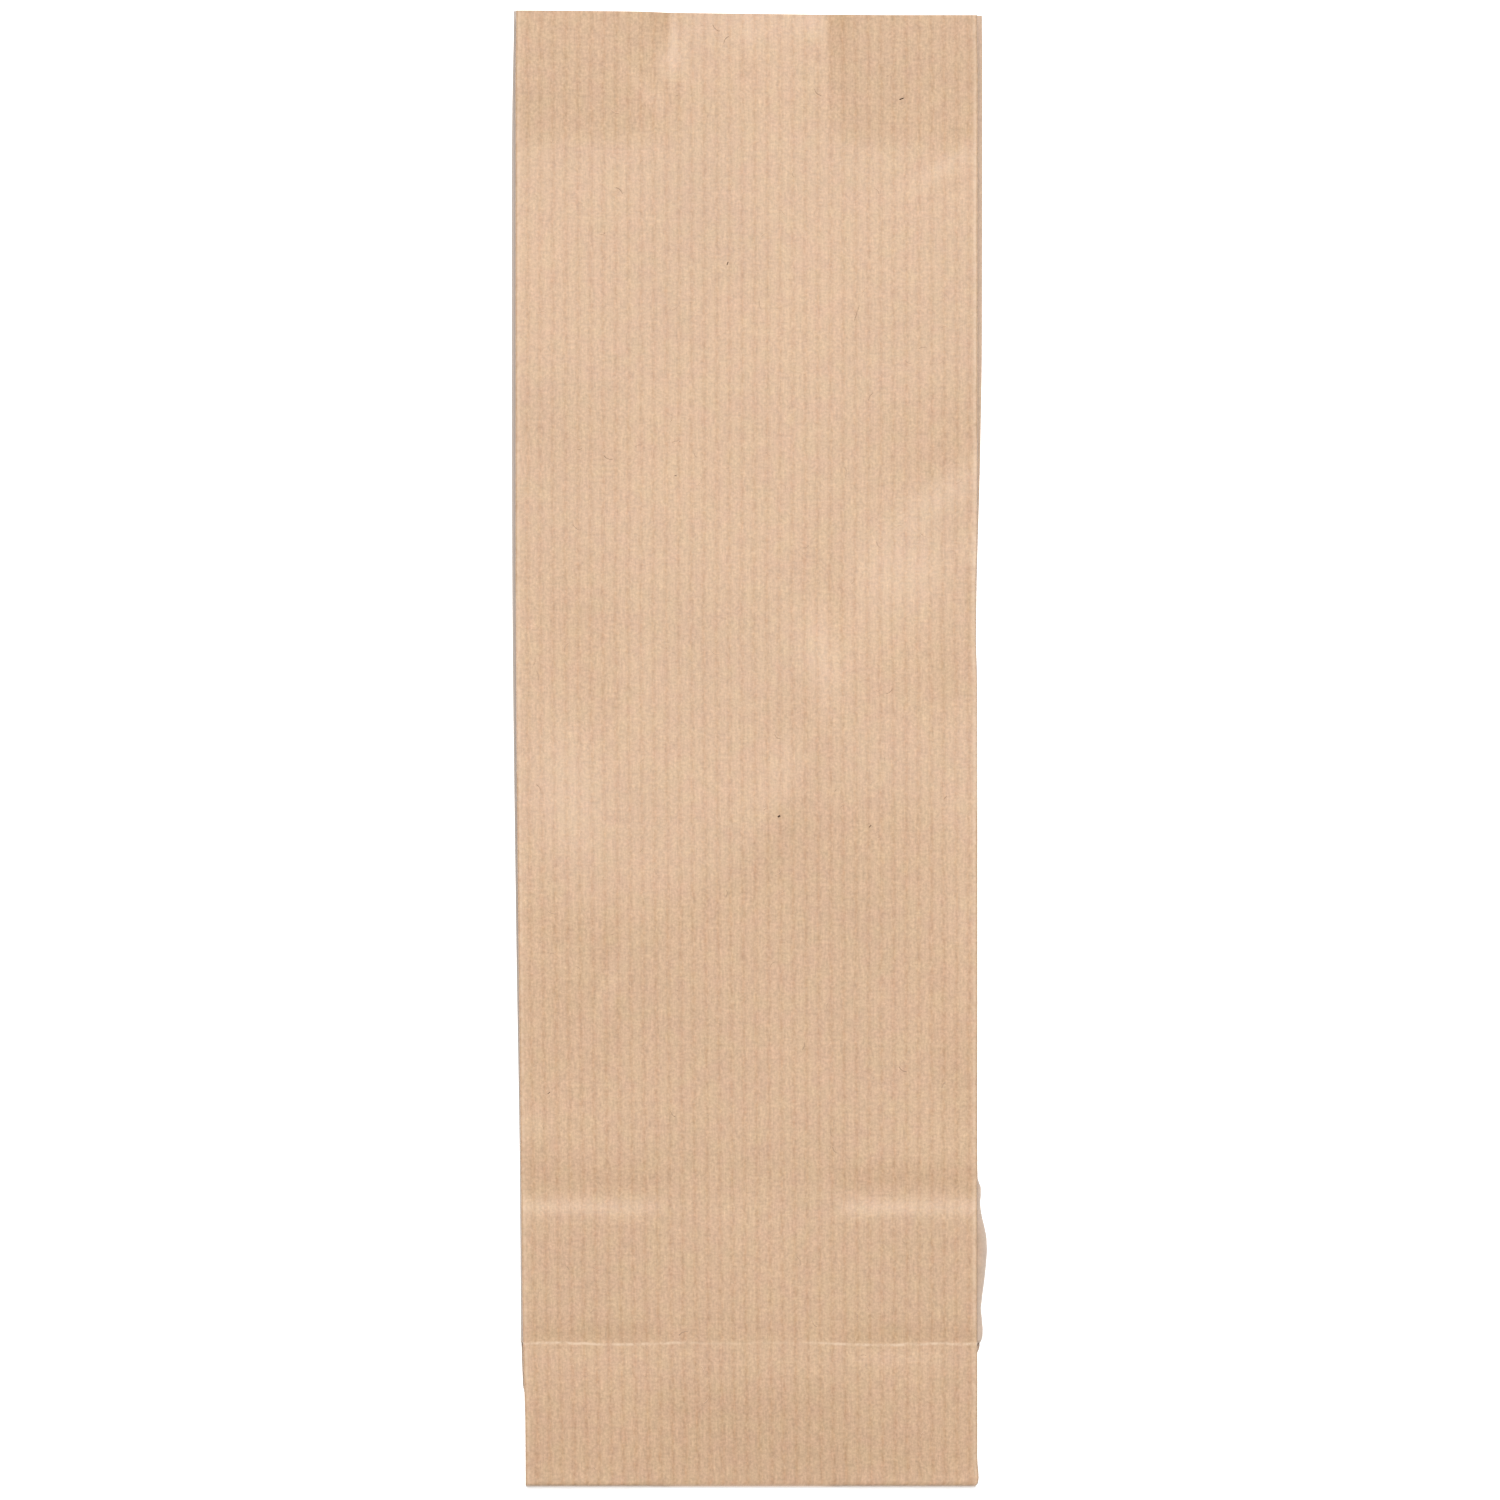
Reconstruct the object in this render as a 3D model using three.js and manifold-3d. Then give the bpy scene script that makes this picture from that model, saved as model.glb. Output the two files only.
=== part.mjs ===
// A flat-folded paper bag with side gussets and a block bottom, lying on its back.
// Millimetres: +X to the right of its plain front, +Y towards its mouth, +Z up, resting on Z = 0.
// Most shapes are written in x, measured from the middle of the front panel, and v, the distance
// up the bag from the fold at its foot.

import * as THREE from 'three';
import { mergeVertices } from 'three/addons/utils/BufferGeometryUtils.js';
import Module from 'manifold-3d';

const wasm = await Module();
wasm.setup();

// Driving sizes of the folded bag.
const PANEL_WIDTH = 80;
const BAG_LENGTH = 256;
const BASE_DEPTH = 50;
const FLAP_REACH = 32;
const SHEET_STEP = 0.15;
const SEAM_FROM_MIDDLE = 14;
const SEAM_FADE = 12;

// What follows from them.
const HALF_WIDTH = PANEL_WIDTH / 2;
const HALF_DEPTH = BASE_DEPTH / 2;
const GUSSET_CREASE = HALF_WIDTH - HALF_DEPTH;

// Room left so that cutters pass clear through, and so that joined slabs share some depth.
const CLEAR = 6;
const SHARE = 0.06;

// Edges of the upper leaf (front panel and the gusset halves under it): [v, x].
const FRONT_LEFT = curveThrough([[0, -38.5], [11, -38.55], [25, -38.95], [50, -39.25],
  [100, -39.8], [157, -40.05], [BAG_LENGTH, -40]]);
const FRONT_RIGHT = curveThrough([[0, 39.7], [0.6, 40.15], [1.6, 40.3], [5, 40.05], [60, 40],
  [140, 40], [147, 39.8], [157, 39.8], [164, 40], [190, 40.12], [245, 40.15],
  [BAG_LENGTH, 39.95]]);

// Edges of the lower leaf (back panel and the other gusset halves), which slipped sideways
// when the bag was folded and swells out on the right just above the fold at HALF_DEPTH.
const REAR_LEFT = curveThrough([[HALF_DEPTH, -39.35], [50, -39.5], [100, -40.25], [157, -40.88],
  [200, -41], [225, -41], [240, -40.87], [BAG_LENGTH, -40.6]]);
const REAR_RIGHT = curveThrough([[HALF_DEPTH, 40.5], [26, 40.95], [28, 41.05], [30.5, 40.7],
  [36, 41.35], [42, 41.85], [49.5, 40.6], [51.5, 40.8], [54, 40.1], [150, 39.9], [180, 40.6],
  [200, 40.9], [250, 40.97], [BAG_LENGTH, 40.9]]);

// Heights of the front panel over the gussets and along its middle: [v, z]. It is scored across
// at half the base depth, and dips where it comes off the folded base.
const FOOT_ROUND = 0.4;
const PAST_MOUTH = BAG_LENGTH + 8;
const FRONT_OVER_GUSSETS = curveThrough([[0, 1.6], [FOOT_ROUND, 2], [2, 2.04], [6, 2.3],
  [12, 2.68], [20, 2.93], [24.7, 2.88], [29, 3.2], [38, 3.3], [46.6, 3.36], [50.6, 3.04],
  [57, 3.33], [75, 3.2], [119, 3.1], [150, 2.96], [180, 2.86], [205, 2.83], [222, 2.83],
  [234, 2.8], [PAST_MOUTH, 2.8]]);
const FRONT_ALONG_MIDDLE = curveThrough([[0, 1.05], [FOOT_ROUND, 1.2], [3, 1.4], [6, 1.66],
  [12, 2.22], [19, 2.74], [24.7, 2.74], [30, 2.92], [44, 3.05], [51, 2.97], [60, 3.05], [75, 3],
  [119, 2.93], [150, 2.78], [180, 2.7], [233, 2.7], [246, 2.92], [251, 2.97],
  [BAG_LENGTH, 2.92], [PAST_MOUTH, 2.8]]);

// How far from the middle the panel climbs onto the gussets, on the left and on the right.
const CLIMB_LEFT = [12, 20];
const CLIMB_RIGHT = [13, 19];

// The body swells to a soft buckle that crosses the front on a slant, along this line: [x, v].
const BUCKLE_LINE = curveThrough([[-HALF_WIDTH, 95], [-24, 99], [-1, 109], [6, 117], [16, 120],
  [HALF_WIDTH, 119]]);
const BUCKLE_RISE = 1.15;
const BUCKLE_BELOW = 32;
const BUCKLE_ABOVE = 34;
const BUCKLE_ROUNDING = 4.5;

// Near the mouth the gussets spring open and lift the two sides of the front panel.
// The mouth was cut a little askew, by this much at each x.
const MOUTH_FOLD_V = 234;
const MOUTH_FOLD_ROUNDING = 1;
const MOUTH_LIFT = 1.6;
const MOUTH_ASKEW = curveThrough([[-HALF_WIDTH, 0.8], [-25, 0.7], [-5, 0.42], [12, 0.2], [25, 0]]);

// Soft dents of the front panel: where each is, how far it reaches across and along the bag, how
// much it climbs towards the mouth for each millimetre to the right, and how steeply its middle
// falls towards the mouth.
const SOFT_DENTS = [
  { x: 13.2, v: 144, across: 3.8, along: 12, climb: 0, fall: 0.068 },
  { x: 6.5, v: 125, across: 5, along: 8, climb: 1.6, fall: 0.055 },
  { x: -31, v: 120, across: 7, along: 22, climb: 0, fall: 0.066 },
  { x: 37, v: 103, across: 4.5, along: 20, climb: 0, fall: 0.09 },
  { x: 37, v: 130, across: 4.5, along: 18, climb: 0, fall: 0.08 },
  { x: 36.5, v: 150, across: 4.5, along: 10, climb: 0, fall: 0.05 },
  { x: 36.5, v: 84, across: 4, along: 9, climb: 0, fall: 0.04 },
  { x: -33, v: 91, across: 7, along: 6, climb: 0, fall: 0.03 },
  { x: -27, v: 182, across: 13, along: 11, climb: 0, fall: -0.02 },
  { x: 28, v: 186, across: 14, along: 7, climb: 0.3, fall: -0.015 },
  { x: 35, v: 173.5, across: 7, along: 5, climb: 0.55, fall: 0.08 },
  { x: 32, v: 162, across: 13, along: 15, climb: 0.3, fall: 0.07 },
];

// Where the lower leaf ends, where the leaves meet and how far each gusset stands open: [v, z].
// It hangs together with the base up to FOLD_CLOSED and is clear of it from FOLD_OPEN.
const REAR_PAST_FRONT = 0.25;
const FOLD_CLOSED = HALF_DEPTH + 1.2;
const FOLD_OPEN = HALF_DEPTH + 1.6;
const REAR_ON_FLOOR = 62;
const REAR_UNDER = curveThrough([[HALF_DEPTH, 1.35], [FOLD_CLOSED, 1.35], [FOLD_OPEN, 1.7],
  [45, 1.7], [50.6, 1.3], [57, 0.4], [REAR_ON_FLOOR, 0], [BAG_LENGTH, 0]]);
const LEAF_MEETING = curveThrough([[HALF_DEPTH, 2.35], [46, 2.4], [51, 2.1], [62, 1.8],
  [110, 1.95], [233, 1.1], [BAG_LENGTH, 1.4]]);
const GUSSET_OPENING = curveThrough([[HALF_DEPTH, 0.2], [46, 0.35], [51, 0.55], [62, 1.7],
  [110, 2.5], [180, 1.5], [233, 0.8], [BAG_LENGTH, 1.5]]);
const GUSSET_INNER_GAP = 0.2;

// The block bottom folded flat: where it starts, how far it stands in from the upper leaf's edges
// (it shows past them where the lower leaf folds over onto it), its thickness where it is deepest,
// and the slots between its folds.
const BASE_START = 0.2;
const BASE_INSET_LEFT = curveThrough([[14, 0.2], [18, -0.3], [27, -0.3], [31, 0.2]]);
const BASE_INSET_RIGHT = curveThrough([[22.4, 0.2], [24.4, -0.45], [26, -0.45], [29, 0.2]]);
const BASE_THICKNESS = 1.5;
const BASE_STEP = [20, HALF_DEPTH - 1.2];
const BASE_EDGE_ROUND = 6;
const BASE_EDGE_DROP = 0.7;
const BASE_UNDER_DROP = 0.45;
const BASE_SLOT_LOW = 0.7;
const BASE_SLOT_HIGH = 0.95;
const FOLD_LAND = 0.9;

// The open mouth: a lip of paper each side of the space between the panels.
const LIP = 0.2;
const MOUTH_DEPTH = 7;
const MOUTH_SLIT = 0.2;

const EDGE_ROUND = 0.9;
const EDGE_DROP = 0.3;

const KRAFT_PAPER = new THREE.MeshStandardMaterial({ color: 0xdcba9d, roughness: 0.86, metalness: 0 });

// A smooth curve through [place, value] stations that never overshoots them, level at both ends.
function curveThrough(stations) {
  const steepness = (from, to) => (to[1] - from[1]) / (to[0] - from[0]);
  const last = stations.length - 1;
  const tangents = stations.map((station, i) => {
    if (i === 0 || i === last) return 0;
    const before = steepness(stations[i - 1], station);
    const after = steepness(station, stations[i + 1]);
    return before * after > 0 ? (2 * before * after) / (before + after) : 0;
  });
  return (place) => {
    if (place <= stations[0][0]) return stations[0][1];
    if (place >= stations[last][0]) return stations[last][1];
    const i = stations.findIndex(([end]) => end > place) - 1;
    const span = stations[i + 1][0] - stations[i][0];
    const t = (place - stations[i][0]) / span;
    const rise = t * t * (3 - 2 * t);
    return THREE.MathUtils.lerp(stations[i][1], stations[i + 1][1], rise)
      + span * t * (1 - t) * ((1 - t) * tangents[i] - t * tangents[i + 1]);
  };
}

function bump(distance, reach) {
  return Math.exp(-((distance / reach) ** 2));
}

// 1 over the gussets and 0 along the middle of the panel, where there are only two sheets.
function overGusset(x) {
  const [start, end] = x < 0 ? CLIMB_LEFT : CLIMB_RIGHT;
  return THREE.MathUtils.smoothstep(Math.abs(x), start, end);
}

// Quarter-round falling from 0 to 1 as the distance to an edge goes from reach to nothing.
function roundOff(distance, reach) {
  const t = THREE.MathUtils.clamp(1 - distance / reach, 0, 1);
  return 1 - Math.sqrt(1 - t * t);
}

function buckle(x, v) {
  const past = v - BUCKLE_LINE(x);
  const reach = past < 0 ? BUCKLE_BELOW : BUCKLE_ABOVE;
  const ridge = Math.hypot(past, BUCKLE_ROUNDING) - BUCKLE_ROUNDING;
  return BUCKLE_RISE * Math.exp(-ridge / reach);
}

function mouthLift(x, v) {
  const past = v - MOUTH_FOLD_V;
  const rounded = (past + Math.hypot(past, MOUTH_FOLD_ROUNDING)) / 2;
  return MOUTH_LIFT * (rounded / (BAG_LENGTH - MOUTH_FOLD_V)) * overGusset(x);
}

function softDents(x, v) {
  return SOFT_DENTS.reduce((sum, dent) => {
    const up = v - dent.v - dent.climb * (x - dent.x);
    return sum - dent.fall * up * bump(up, dent.along) * bump(x - dent.x, dent.across);
  }, 0);
}

function frontTop(x, v) {
  const height = THREE.MathUtils.lerp(FRONT_ALONG_MIDDLE(v), FRONT_OVER_GUSSETS(v), overGusset(x));
  const edge = Math.min(x - FRONT_LEFT(v), FRONT_RIGHT(v) - x);
  return height + buckle(x, v) + mouthLift(x, v) + softDents(x, v)
    - EDGE_DROP * roundOff(edge, EDGE_ROUND);
}

function rearUnder(x, v) {
  const edge = Math.min(x - REAR_LEFT(v), REAR_RIGHT(v) - x);
  return REAR_UNDER(v) + EDGE_DROP * roundOff(edge, EDGE_ROUND);
}

// How far up the bag a point lies in plan: the panel is longest at its left corner.
function stretchToMouth(x, v) {
  return v * (1 + MOUTH_ASKEW(x) / BAG_LENGTH);
}

function evenSteps(from, to, count) {
  return Array.from({ length: count }, (_, i) => from + ((to - from) * i) / count);
}

// Columns close together at both edges, where the paper turns over.
function columnsAcross(fromEdge) {
  const left = fromEdge.map((distance) => distance / PANEL_WIDTH);
  const right = fromEdge.filter((distance) => distance < HALF_WIDTH).reverse();
  return [...left, ...right.map((distance) => 1 - distance / PANEL_WIDTH)];
}

function toManifold(positions, triangles) {
  return new wasm.Manifold(new wasm.Mesh({
    numProp: 3,
    vertProperties: new Float32Array(positions),
    triVerts: new Uint32Array(triangles),
  }));
}

// A closed slab between two height fields, over the strip from left(v) to right(v).
function slab({ across, along, left, right, top, bottom }) {
  const positions = [];
  for (const height of [top, bottom]) {
    for (const v of along) {
      for (const share of across) {
        const x = THREE.MathUtils.lerp(left(v), right(v), share);
        positions.push(x, stretchToMouth(x, v), height(x, v));
      }
    }
  }
  const wide = across.length;
  const layer = wide * along.length;
  const triangles = [];
  const quad = (a, b, c, d) => triangles.push(a, b, c, a, c, d);
  for (let row = 0; row < along.length - 1; row += 1) {
    for (let column = 0; column < wide - 1; column += 1) {
      const corner = row * wide + column;
      quad(corner, corner + 1, corner + 1 + wide, corner + wide);
      quad(layer + corner, layer + corner + wide, layer + corner + 1 + wide, layer + corner + 1);
    }
    const start = row * wide;
    const end = start + wide - 1;
    quad(start + wide, layer + start + wide, layer + start, start);
    quad(end, layer + end, layer + end + wide, end + wide);
  }
  for (let column = 0; column < wide - 1; column += 1) {
    const near = column;
    const far = layer - wide + column;
    quad(near, layer + near, layer + near + 1, near + 1);
    quad(far + 1, layer + far + 1, layer + far, far);
  }
  return toManifold(positions, triangles);
}

function fromGeometry(geometry) {
  geometry.deleteAttribute('normal');
  geometry.deleteAttribute('uv');
  const merged = mergeVertices(geometry);
  return toManifold(merged.attributes.position.array, merged.index.array);
}

// A prism standing on a plan outline given in x and v.
function prism(outline, low, high) {
  const shape = new THREE.Shape(outline.map(([x, v]) => new THREE.Vector2(x, v)));
  const geometry = new THREE.ExtrudeGeometry(shape, { depth: high - low, bevelEnabled: false });
  return fromGeometry(geometry.translate(0, 0, low));
}

const PANEL_COLUMNS = columnsAcross([0, 0.3, 0.9, 2.5, 6, 10, 15, 20, 22, 24, 26, 28, 30, 35,
  HALF_WIDTH]);
const LEAF_COLUMNS = columnsAcross([0, 0.3, 0.9, HALF_WIDTH]);
const FOOT_ROWS = [0, FOOT_ROUND / 3, FOOT_ROUND, 2, 4, 6, 9, 12, 15.5,
  ...evenSteps(19, FOLD_OPEN, 7)];
const FOLD_ROWS = [FOLD_OPEN, 28, 30.5, 33, 36, 39, 42, 44, ...evenSteps(46, REAR_ON_FLOOR, 10)];
const BODY_ROWS = [...evenSteps(REAR_ON_FLOOR, 200, 26), 200, 207, 214, 221, 225, 229, 232,
  MOUTH_FOLD_V, 236, 239, 243, 246, ...evenSteps(BAG_LENGTH - MOUTH_DEPTH, BAG_LENGTH, 2),
  BAG_LENGTH];

// The front panel with the gusset halves under it, from the foot fold to the mouth.
function upperLeaf() {
  return slab({
    across: PANEL_COLUMNS,
    along: [...FOOT_ROWS, ...FOLD_ROWS, ...BODY_ROWS],
    left: FRONT_LEFT,
    right: FRONT_RIGHT,
    top: frontTop,
    bottom: (x, v) => (v < HALF_DEPTH ? BASE_SLOT_HIGH - SHARE : LEAF_MEETING(v) - SHARE),
  });
}

// The back panel with its gusset halves, from the fold at HALF_DEPTH to just past the front panel.
function lowerLeaf() {
  const reach = (BAG_LENGTH + REAR_PAST_FRONT) / BAG_LENGTH;
  return slab({
    across: LEAF_COLUMNS,
    along: [HALF_DEPTH, FOLD_CLOSED, ...FOLD_ROWS, ...BODY_ROWS.map((v) => v * reach)],
    left: REAR_LEFT,
    right: REAR_RIGHT,
    top: (x, v) => LEAF_MEETING(v) + SHARE,
    bottom: rearUnder,
  });
}

// The block bottom, folded flat behind the foot of the bag. Under the front panel's lowest part it
// reaches up only as far as the slots between its folds.
function foldedBase() {
  const underFoot = BASE_SLOT_HIGH - SHARE / 2;
  const level = (v) => THREE.MathUtils.lerp(underFoot, BASE_THICKNESS,
    THREE.MathUtils.smoothstep(v, ...BASE_STEP));
  return slab({
    across: LEAF_COLUMNS,
    along: [BASE_START, BASE_START + FOOT_ROUND / 3, BASE_START + FOOT_ROUND, 14, 16, 18,
      ...evenSteps(20, 32, 10), 32, ...evenSteps(BASE_DEPTH - BASE_EDGE_ROUND, BASE_DEPTH, 6),
      BASE_DEPTH],
    left: (v) => FRONT_LEFT(v) + BASE_INSET_LEFT(v),
    right: (v) => FRONT_RIGHT(v) - BASE_INSET_RIGHT(v),
    top: (x, v) => level(v) - BASE_EDGE_DROP * roundOff(BASE_DEPTH - v, BASE_EDGE_ROUND),
    bottom: (x, v) => BASE_UNDER_DROP
      * roundOff(Math.min(v - BASE_START, BASE_DEPTH - v), FOOT_ROUND),
  });
}

// The slot that each gusset leaves at the side of the bag, closing at its inner crease.
function gussetSlot(side) {
  const inner = () => side * GUSSET_CREASE;
  const outer = () => side * (HALF_WIDTH + CLEAR);
  const halfGap = (x, v) => THREE.MathUtils.mapLinear(Math.abs(x), GUSSET_CREASE, HALF_WIDTH,
    GUSSET_INNER_GAP, GUSSET_OPENING(v)) / 2;
  return slab({
    across: [0, 1],
    along: [HALF_DEPTH + FOLD_LAND, ...FOLD_ROWS, ...BODY_ROWS, BAG_LENGTH + CLEAR],
    left: side < 0 ? outer : inner,
    right: side < 0 ? inner : outer,
    top: (x, v) => LEAF_MEETING(v) + halfGap(x, v),
    bottom: (x, v) => LEAF_MEETING(v) - halfGap(x, v),
  });
}

// The three-cornered slot that the folded gusset leaves at each side of the base.
function baseSlot(side) {
  const outer = side * (HALF_WIDTH + CLEAR);
  const corner = side * (HALF_WIDTH - FOLD_LAND);
  const outline = [[outer, FOLD_LAND], [outer, BASE_DEPTH - FOLD_LAND],
    [corner, BASE_DEPTH - FOLD_LAND], [side * (GUSSET_CREASE + FOLD_LAND), HALF_DEPTH],
    [corner, FOLD_LAND]];
  return prism(outline, BASE_SLOT_LOW, BASE_SLOT_HIGH);
}

// Underneath, the side flaps of the block bottom lie two sheets deep, and the lower flap one sheet
// deep wherever the upper flap, mitred at both ends, doesn't cover it.
function sideFlapRecess(side) {
  const outer = side * (HALF_WIDTH + CLEAR);
  const apex = side * GUSSET_CREASE;
  const outline = [[outer, -CLEAR], [outer, BASE_DEPTH + CLEAR], [apex, HALF_DEPTH]];
  return prism(outline, -CLEAR, 2 * SHEET_STEP);
}

function lowerFlapRecess() {
  const outer = HALF_WIDTH + CLEAR;
  const edge = BASE_DEPTH - FLAP_REACH;
  const tip = HALF_WIDTH - FLAP_REACH;
  return prism([[-outer, -CLEAR], [outer, -CLEAR], [outer, BASE_DEPTH + CLEAR], [tip, edge],
    [-tip, edge], [-outer, BASE_DEPTH + CLEAR]], -CLEAR, SHEET_STEP);
}

// The lengthwise glued seam of the back panel: a step of one sheet that fades away sideways.
function seamRecess() {
  const section = new THREE.Shape([
    new THREE.Vector2(SEAM_FROM_MIDDLE, SHEET_STEP),
    new THREE.Vector2(SEAM_FROM_MIDDLE, -CLEAR),
    new THREE.Vector2(SEAM_FROM_MIDDLE + SEAM_FADE, -CLEAR),
    new THREE.Vector2(SEAM_FROM_MIDDLE + SEAM_FADE, 0),
  ]);
  const length = BAG_LENGTH - BASE_DEPTH;
  const geometry = new THREE.ExtrudeGeometry(section, { depth: length, bevelEnabled: false });
  return fromGeometry(geometry.rotateX(Math.PI / 2).translate(0, BAG_LENGTH + CLEAR, 0));
}

// The space between the panels at the mouth: flat over each gusset, deeper between them. Its
// columns are the panel's own, so that the lip over it is everywhere as thick.
function mouthHollow() {
  const rows = [...evenSteps(BAG_LENGTH - MOUTH_DEPTH, BAG_LENGTH, 2), BAG_LENGTH, BAG_LENGTH + CLEAR];
  const inside = PANEL_COLUMNS.slice(2, -2);
  const hollow = (across, top, bottom) => slab({
    across,
    along: rows,
    left: FRONT_LEFT,
    right: FRONT_RIGHT,
    top,
    bottom,
  });
  const ceiling = (x, v) => frontTop(x, v) - LIP;
  const upper = hollow(inside, ceiling, (x, v) => ceiling(x, v) - MOUTH_SLIT);
  const lower = hollow([inside[0], inside.at(-1)], () => LIP + MOUTH_SLIT, () => LIP);
  const between = hollow(
    inside.filter((share) => Math.abs(share - 0.5) * PANEL_WIDTH < GUSSET_CREASE),
    (x, v) => ceiling(x, v) - MOUTH_SLIT / 2,
    () => LIP + MOUTH_SLIT / 2,
  );
  return upper.add(lower).add(between);
}

function paperBag() {
  const cuts = [lowerFlapRecess(), seamRecess(), mouthHollow()];
  for (const side of [-1, 1]) {
    cuts.push(gussetSlot(side), baseSlot(side), sideFlapRecess(side));
  }
  const folded = upperLeaf().add(lowerLeaf()).add(foldedBase());
  const { vertProperties, triVerts } = cuts.reduce((bag, cut) => bag.subtract(cut), folded).getMesh();
  const geometry = new THREE.BufferGeometry();
  geometry.setAttribute('position', new THREE.BufferAttribute(vertProperties, 3));
  geometry.setIndex(new THREE.BufferAttribute(triVerts, 1));
  geometry.computeBoundingBox();
  const centre = geometry.boundingBox.getCenter(new THREE.Vector3());
  geometry.translate(-centre.x, -centre.y, 0);
  geometry.computeVertexNormals();
  const mesh = new THREE.Mesh(geometry, KRAFT_PAPER);
  mesh.name = 'paper_bag';
  return mesh;
}

const bag = new THREE.Group();
bag.add(paperBag());

export default bag;
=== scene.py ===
import bisect
import math
import random

import bpy
from bpy.props import FloatProperty, FloatVectorProperty, PointerProperty
from bpy.types import Operator, Panel, PropertyGroup
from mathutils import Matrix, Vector, noise


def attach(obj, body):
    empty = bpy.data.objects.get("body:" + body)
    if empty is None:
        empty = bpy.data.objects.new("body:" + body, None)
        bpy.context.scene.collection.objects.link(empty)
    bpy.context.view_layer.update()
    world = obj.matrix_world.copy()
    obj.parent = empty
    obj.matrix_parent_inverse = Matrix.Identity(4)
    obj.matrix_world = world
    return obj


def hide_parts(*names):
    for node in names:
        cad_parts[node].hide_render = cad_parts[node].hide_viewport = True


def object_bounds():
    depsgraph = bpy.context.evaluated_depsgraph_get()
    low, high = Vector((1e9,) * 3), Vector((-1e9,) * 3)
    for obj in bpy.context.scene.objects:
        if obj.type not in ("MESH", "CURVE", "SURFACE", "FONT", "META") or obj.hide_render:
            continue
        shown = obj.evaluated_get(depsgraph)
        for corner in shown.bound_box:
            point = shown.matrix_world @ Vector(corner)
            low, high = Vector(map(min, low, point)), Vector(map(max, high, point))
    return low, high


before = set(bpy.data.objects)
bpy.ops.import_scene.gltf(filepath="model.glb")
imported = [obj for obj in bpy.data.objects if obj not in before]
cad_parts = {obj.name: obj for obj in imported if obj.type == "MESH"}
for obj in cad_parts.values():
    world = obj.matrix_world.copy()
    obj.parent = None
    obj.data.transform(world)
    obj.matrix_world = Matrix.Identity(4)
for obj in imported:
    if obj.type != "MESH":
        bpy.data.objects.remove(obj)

CAD_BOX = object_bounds()

bl_info = {
    "name": "Kraft paper bag",
    "version": (1, 0, 0),
    "blender": (4, 5, 0),
    "location": "3D Viewport > Sidebar > Paper Bag",
    "description": "Folds a flat block-bottom bag of ribbed kraft paper and sets a pale stage for it",
    "category": "Add Mesh",
}

# ---------------------------------------------------------------------------------------------
# Sizes in millimetres. x runs across the bag from the middle of its front panel and v runs up
# the bag from the fold at its foot. On the sheet before it is folded, u runs round the bag from
# the middle of the front panel, and h runs up from the crease round the block bottom.

MM = 0.001
CAD_LOW = CAD_BOX[0]

PANEL_WIDTH = 80.0
BAG_LENGTH = 256.0
BASE_DEPTH = 50.0
FLAP_REACH = 32.0
SEAM_FROM_MIDDLE = 14.0
SEAM_TAB = 15.0
SEAM_FADE = 12.0
SHEET = 0.12

# Places nearer to each other than this are one place.
CLOSE = 0.001

HALF_WIDTH = PANEL_WIDTH / 2
HALF_DEPTH = BASE_DEPTH / 2
HALF_SHEET = SHEET / 2
GUSSET_CREASE = HALF_WIDTH - HALF_DEPTH
FRONT_EDGE_U = HALF_WIDTH
INNER_CREASE_U = HALF_WIDTH + HALF_DEPTH
REAR_EDGE_U = HALF_WIDTH + BASE_DEPTH
SEAM_RIGHT_U = REAR_EDGE_U + HALF_WIDTH - SEAM_FROM_MIDDLE
SEAM_LEFT_U = REAR_EDGE_U + HALF_WIDTH + SEAM_FROM_MIDDLE

# The paper's own map: a square of this side holds the whole sheet, with these margins.
PAPER_UV = "paper"
PAPER_MAP = 300.0
MAP_LEFT = 150.0
MAP_BELOW = 38.0


def curve_through(*stations):
    """A smooth curve through (place, value) stations that never overshoots, level at both ends."""
    places = [place for place, value in stations]
    slopes = [(b[1] - a[1]) / (b[0] - a[0]) for a, b in zip(stations, stations[1:])]
    tangents = [0.0]
    for before, after in zip(slopes, slopes[1:]):
        turns = before * after <= 0
        tangents.append(0.0 if turns else 2 * before * after / (before + after))
    tangents.append(0.0)

    def value_at(place):
        if place <= places[0]:
            return stations[0][1]
        if place >= places[-1]:
            return stations[-1][1]
        i = bisect.bisect_right(places, place) - 1
        span = places[i + 1] - places[i]
        t = (place - places[i]) / span
        rise = t * t * (3 - 2 * t)
        return (lerp(stations[i][1], stations[i + 1][1], rise)
                + span * t * (1 - t) * ((1 - t) * tangents[i] - t * tangents[i + 1]))

    return value_at


def lerp(start, end, share):
    return start + (end - start) * share


def clamp(value, low=0.0, high=1.0):
    return min(max(value, low), high)


def smoothstep(value, start, end):
    t = clamp((value - start) / (end - start))
    return t * t * (3 - 2 * t)


def bump(distance, reach):
    return math.exp(-((distance / reach) ** 2))


# Edges of the upper leaf (front panel and the gusset halves under it).
FRONT_LEFT = curve_through((0, -38.5), (11, -38.55), (25, -38.95), (50, -39.25), (100, -39.78),
                           (140, -40.17), (165, -40.25), (243, -40.25), (BAG_LENGTH, -40.1))
FRONT_RIGHT = curve_through((0, 39.7), (0.6, 40.15), (1.6, 40.3), (5, 40.05), (60, 40), (140, 40),
                            (147, 39.8), (157, 39.8), (164, 40), (190, 40.12), (245, 40.15),
                            (BAG_LENGTH, 39.95))

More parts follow.
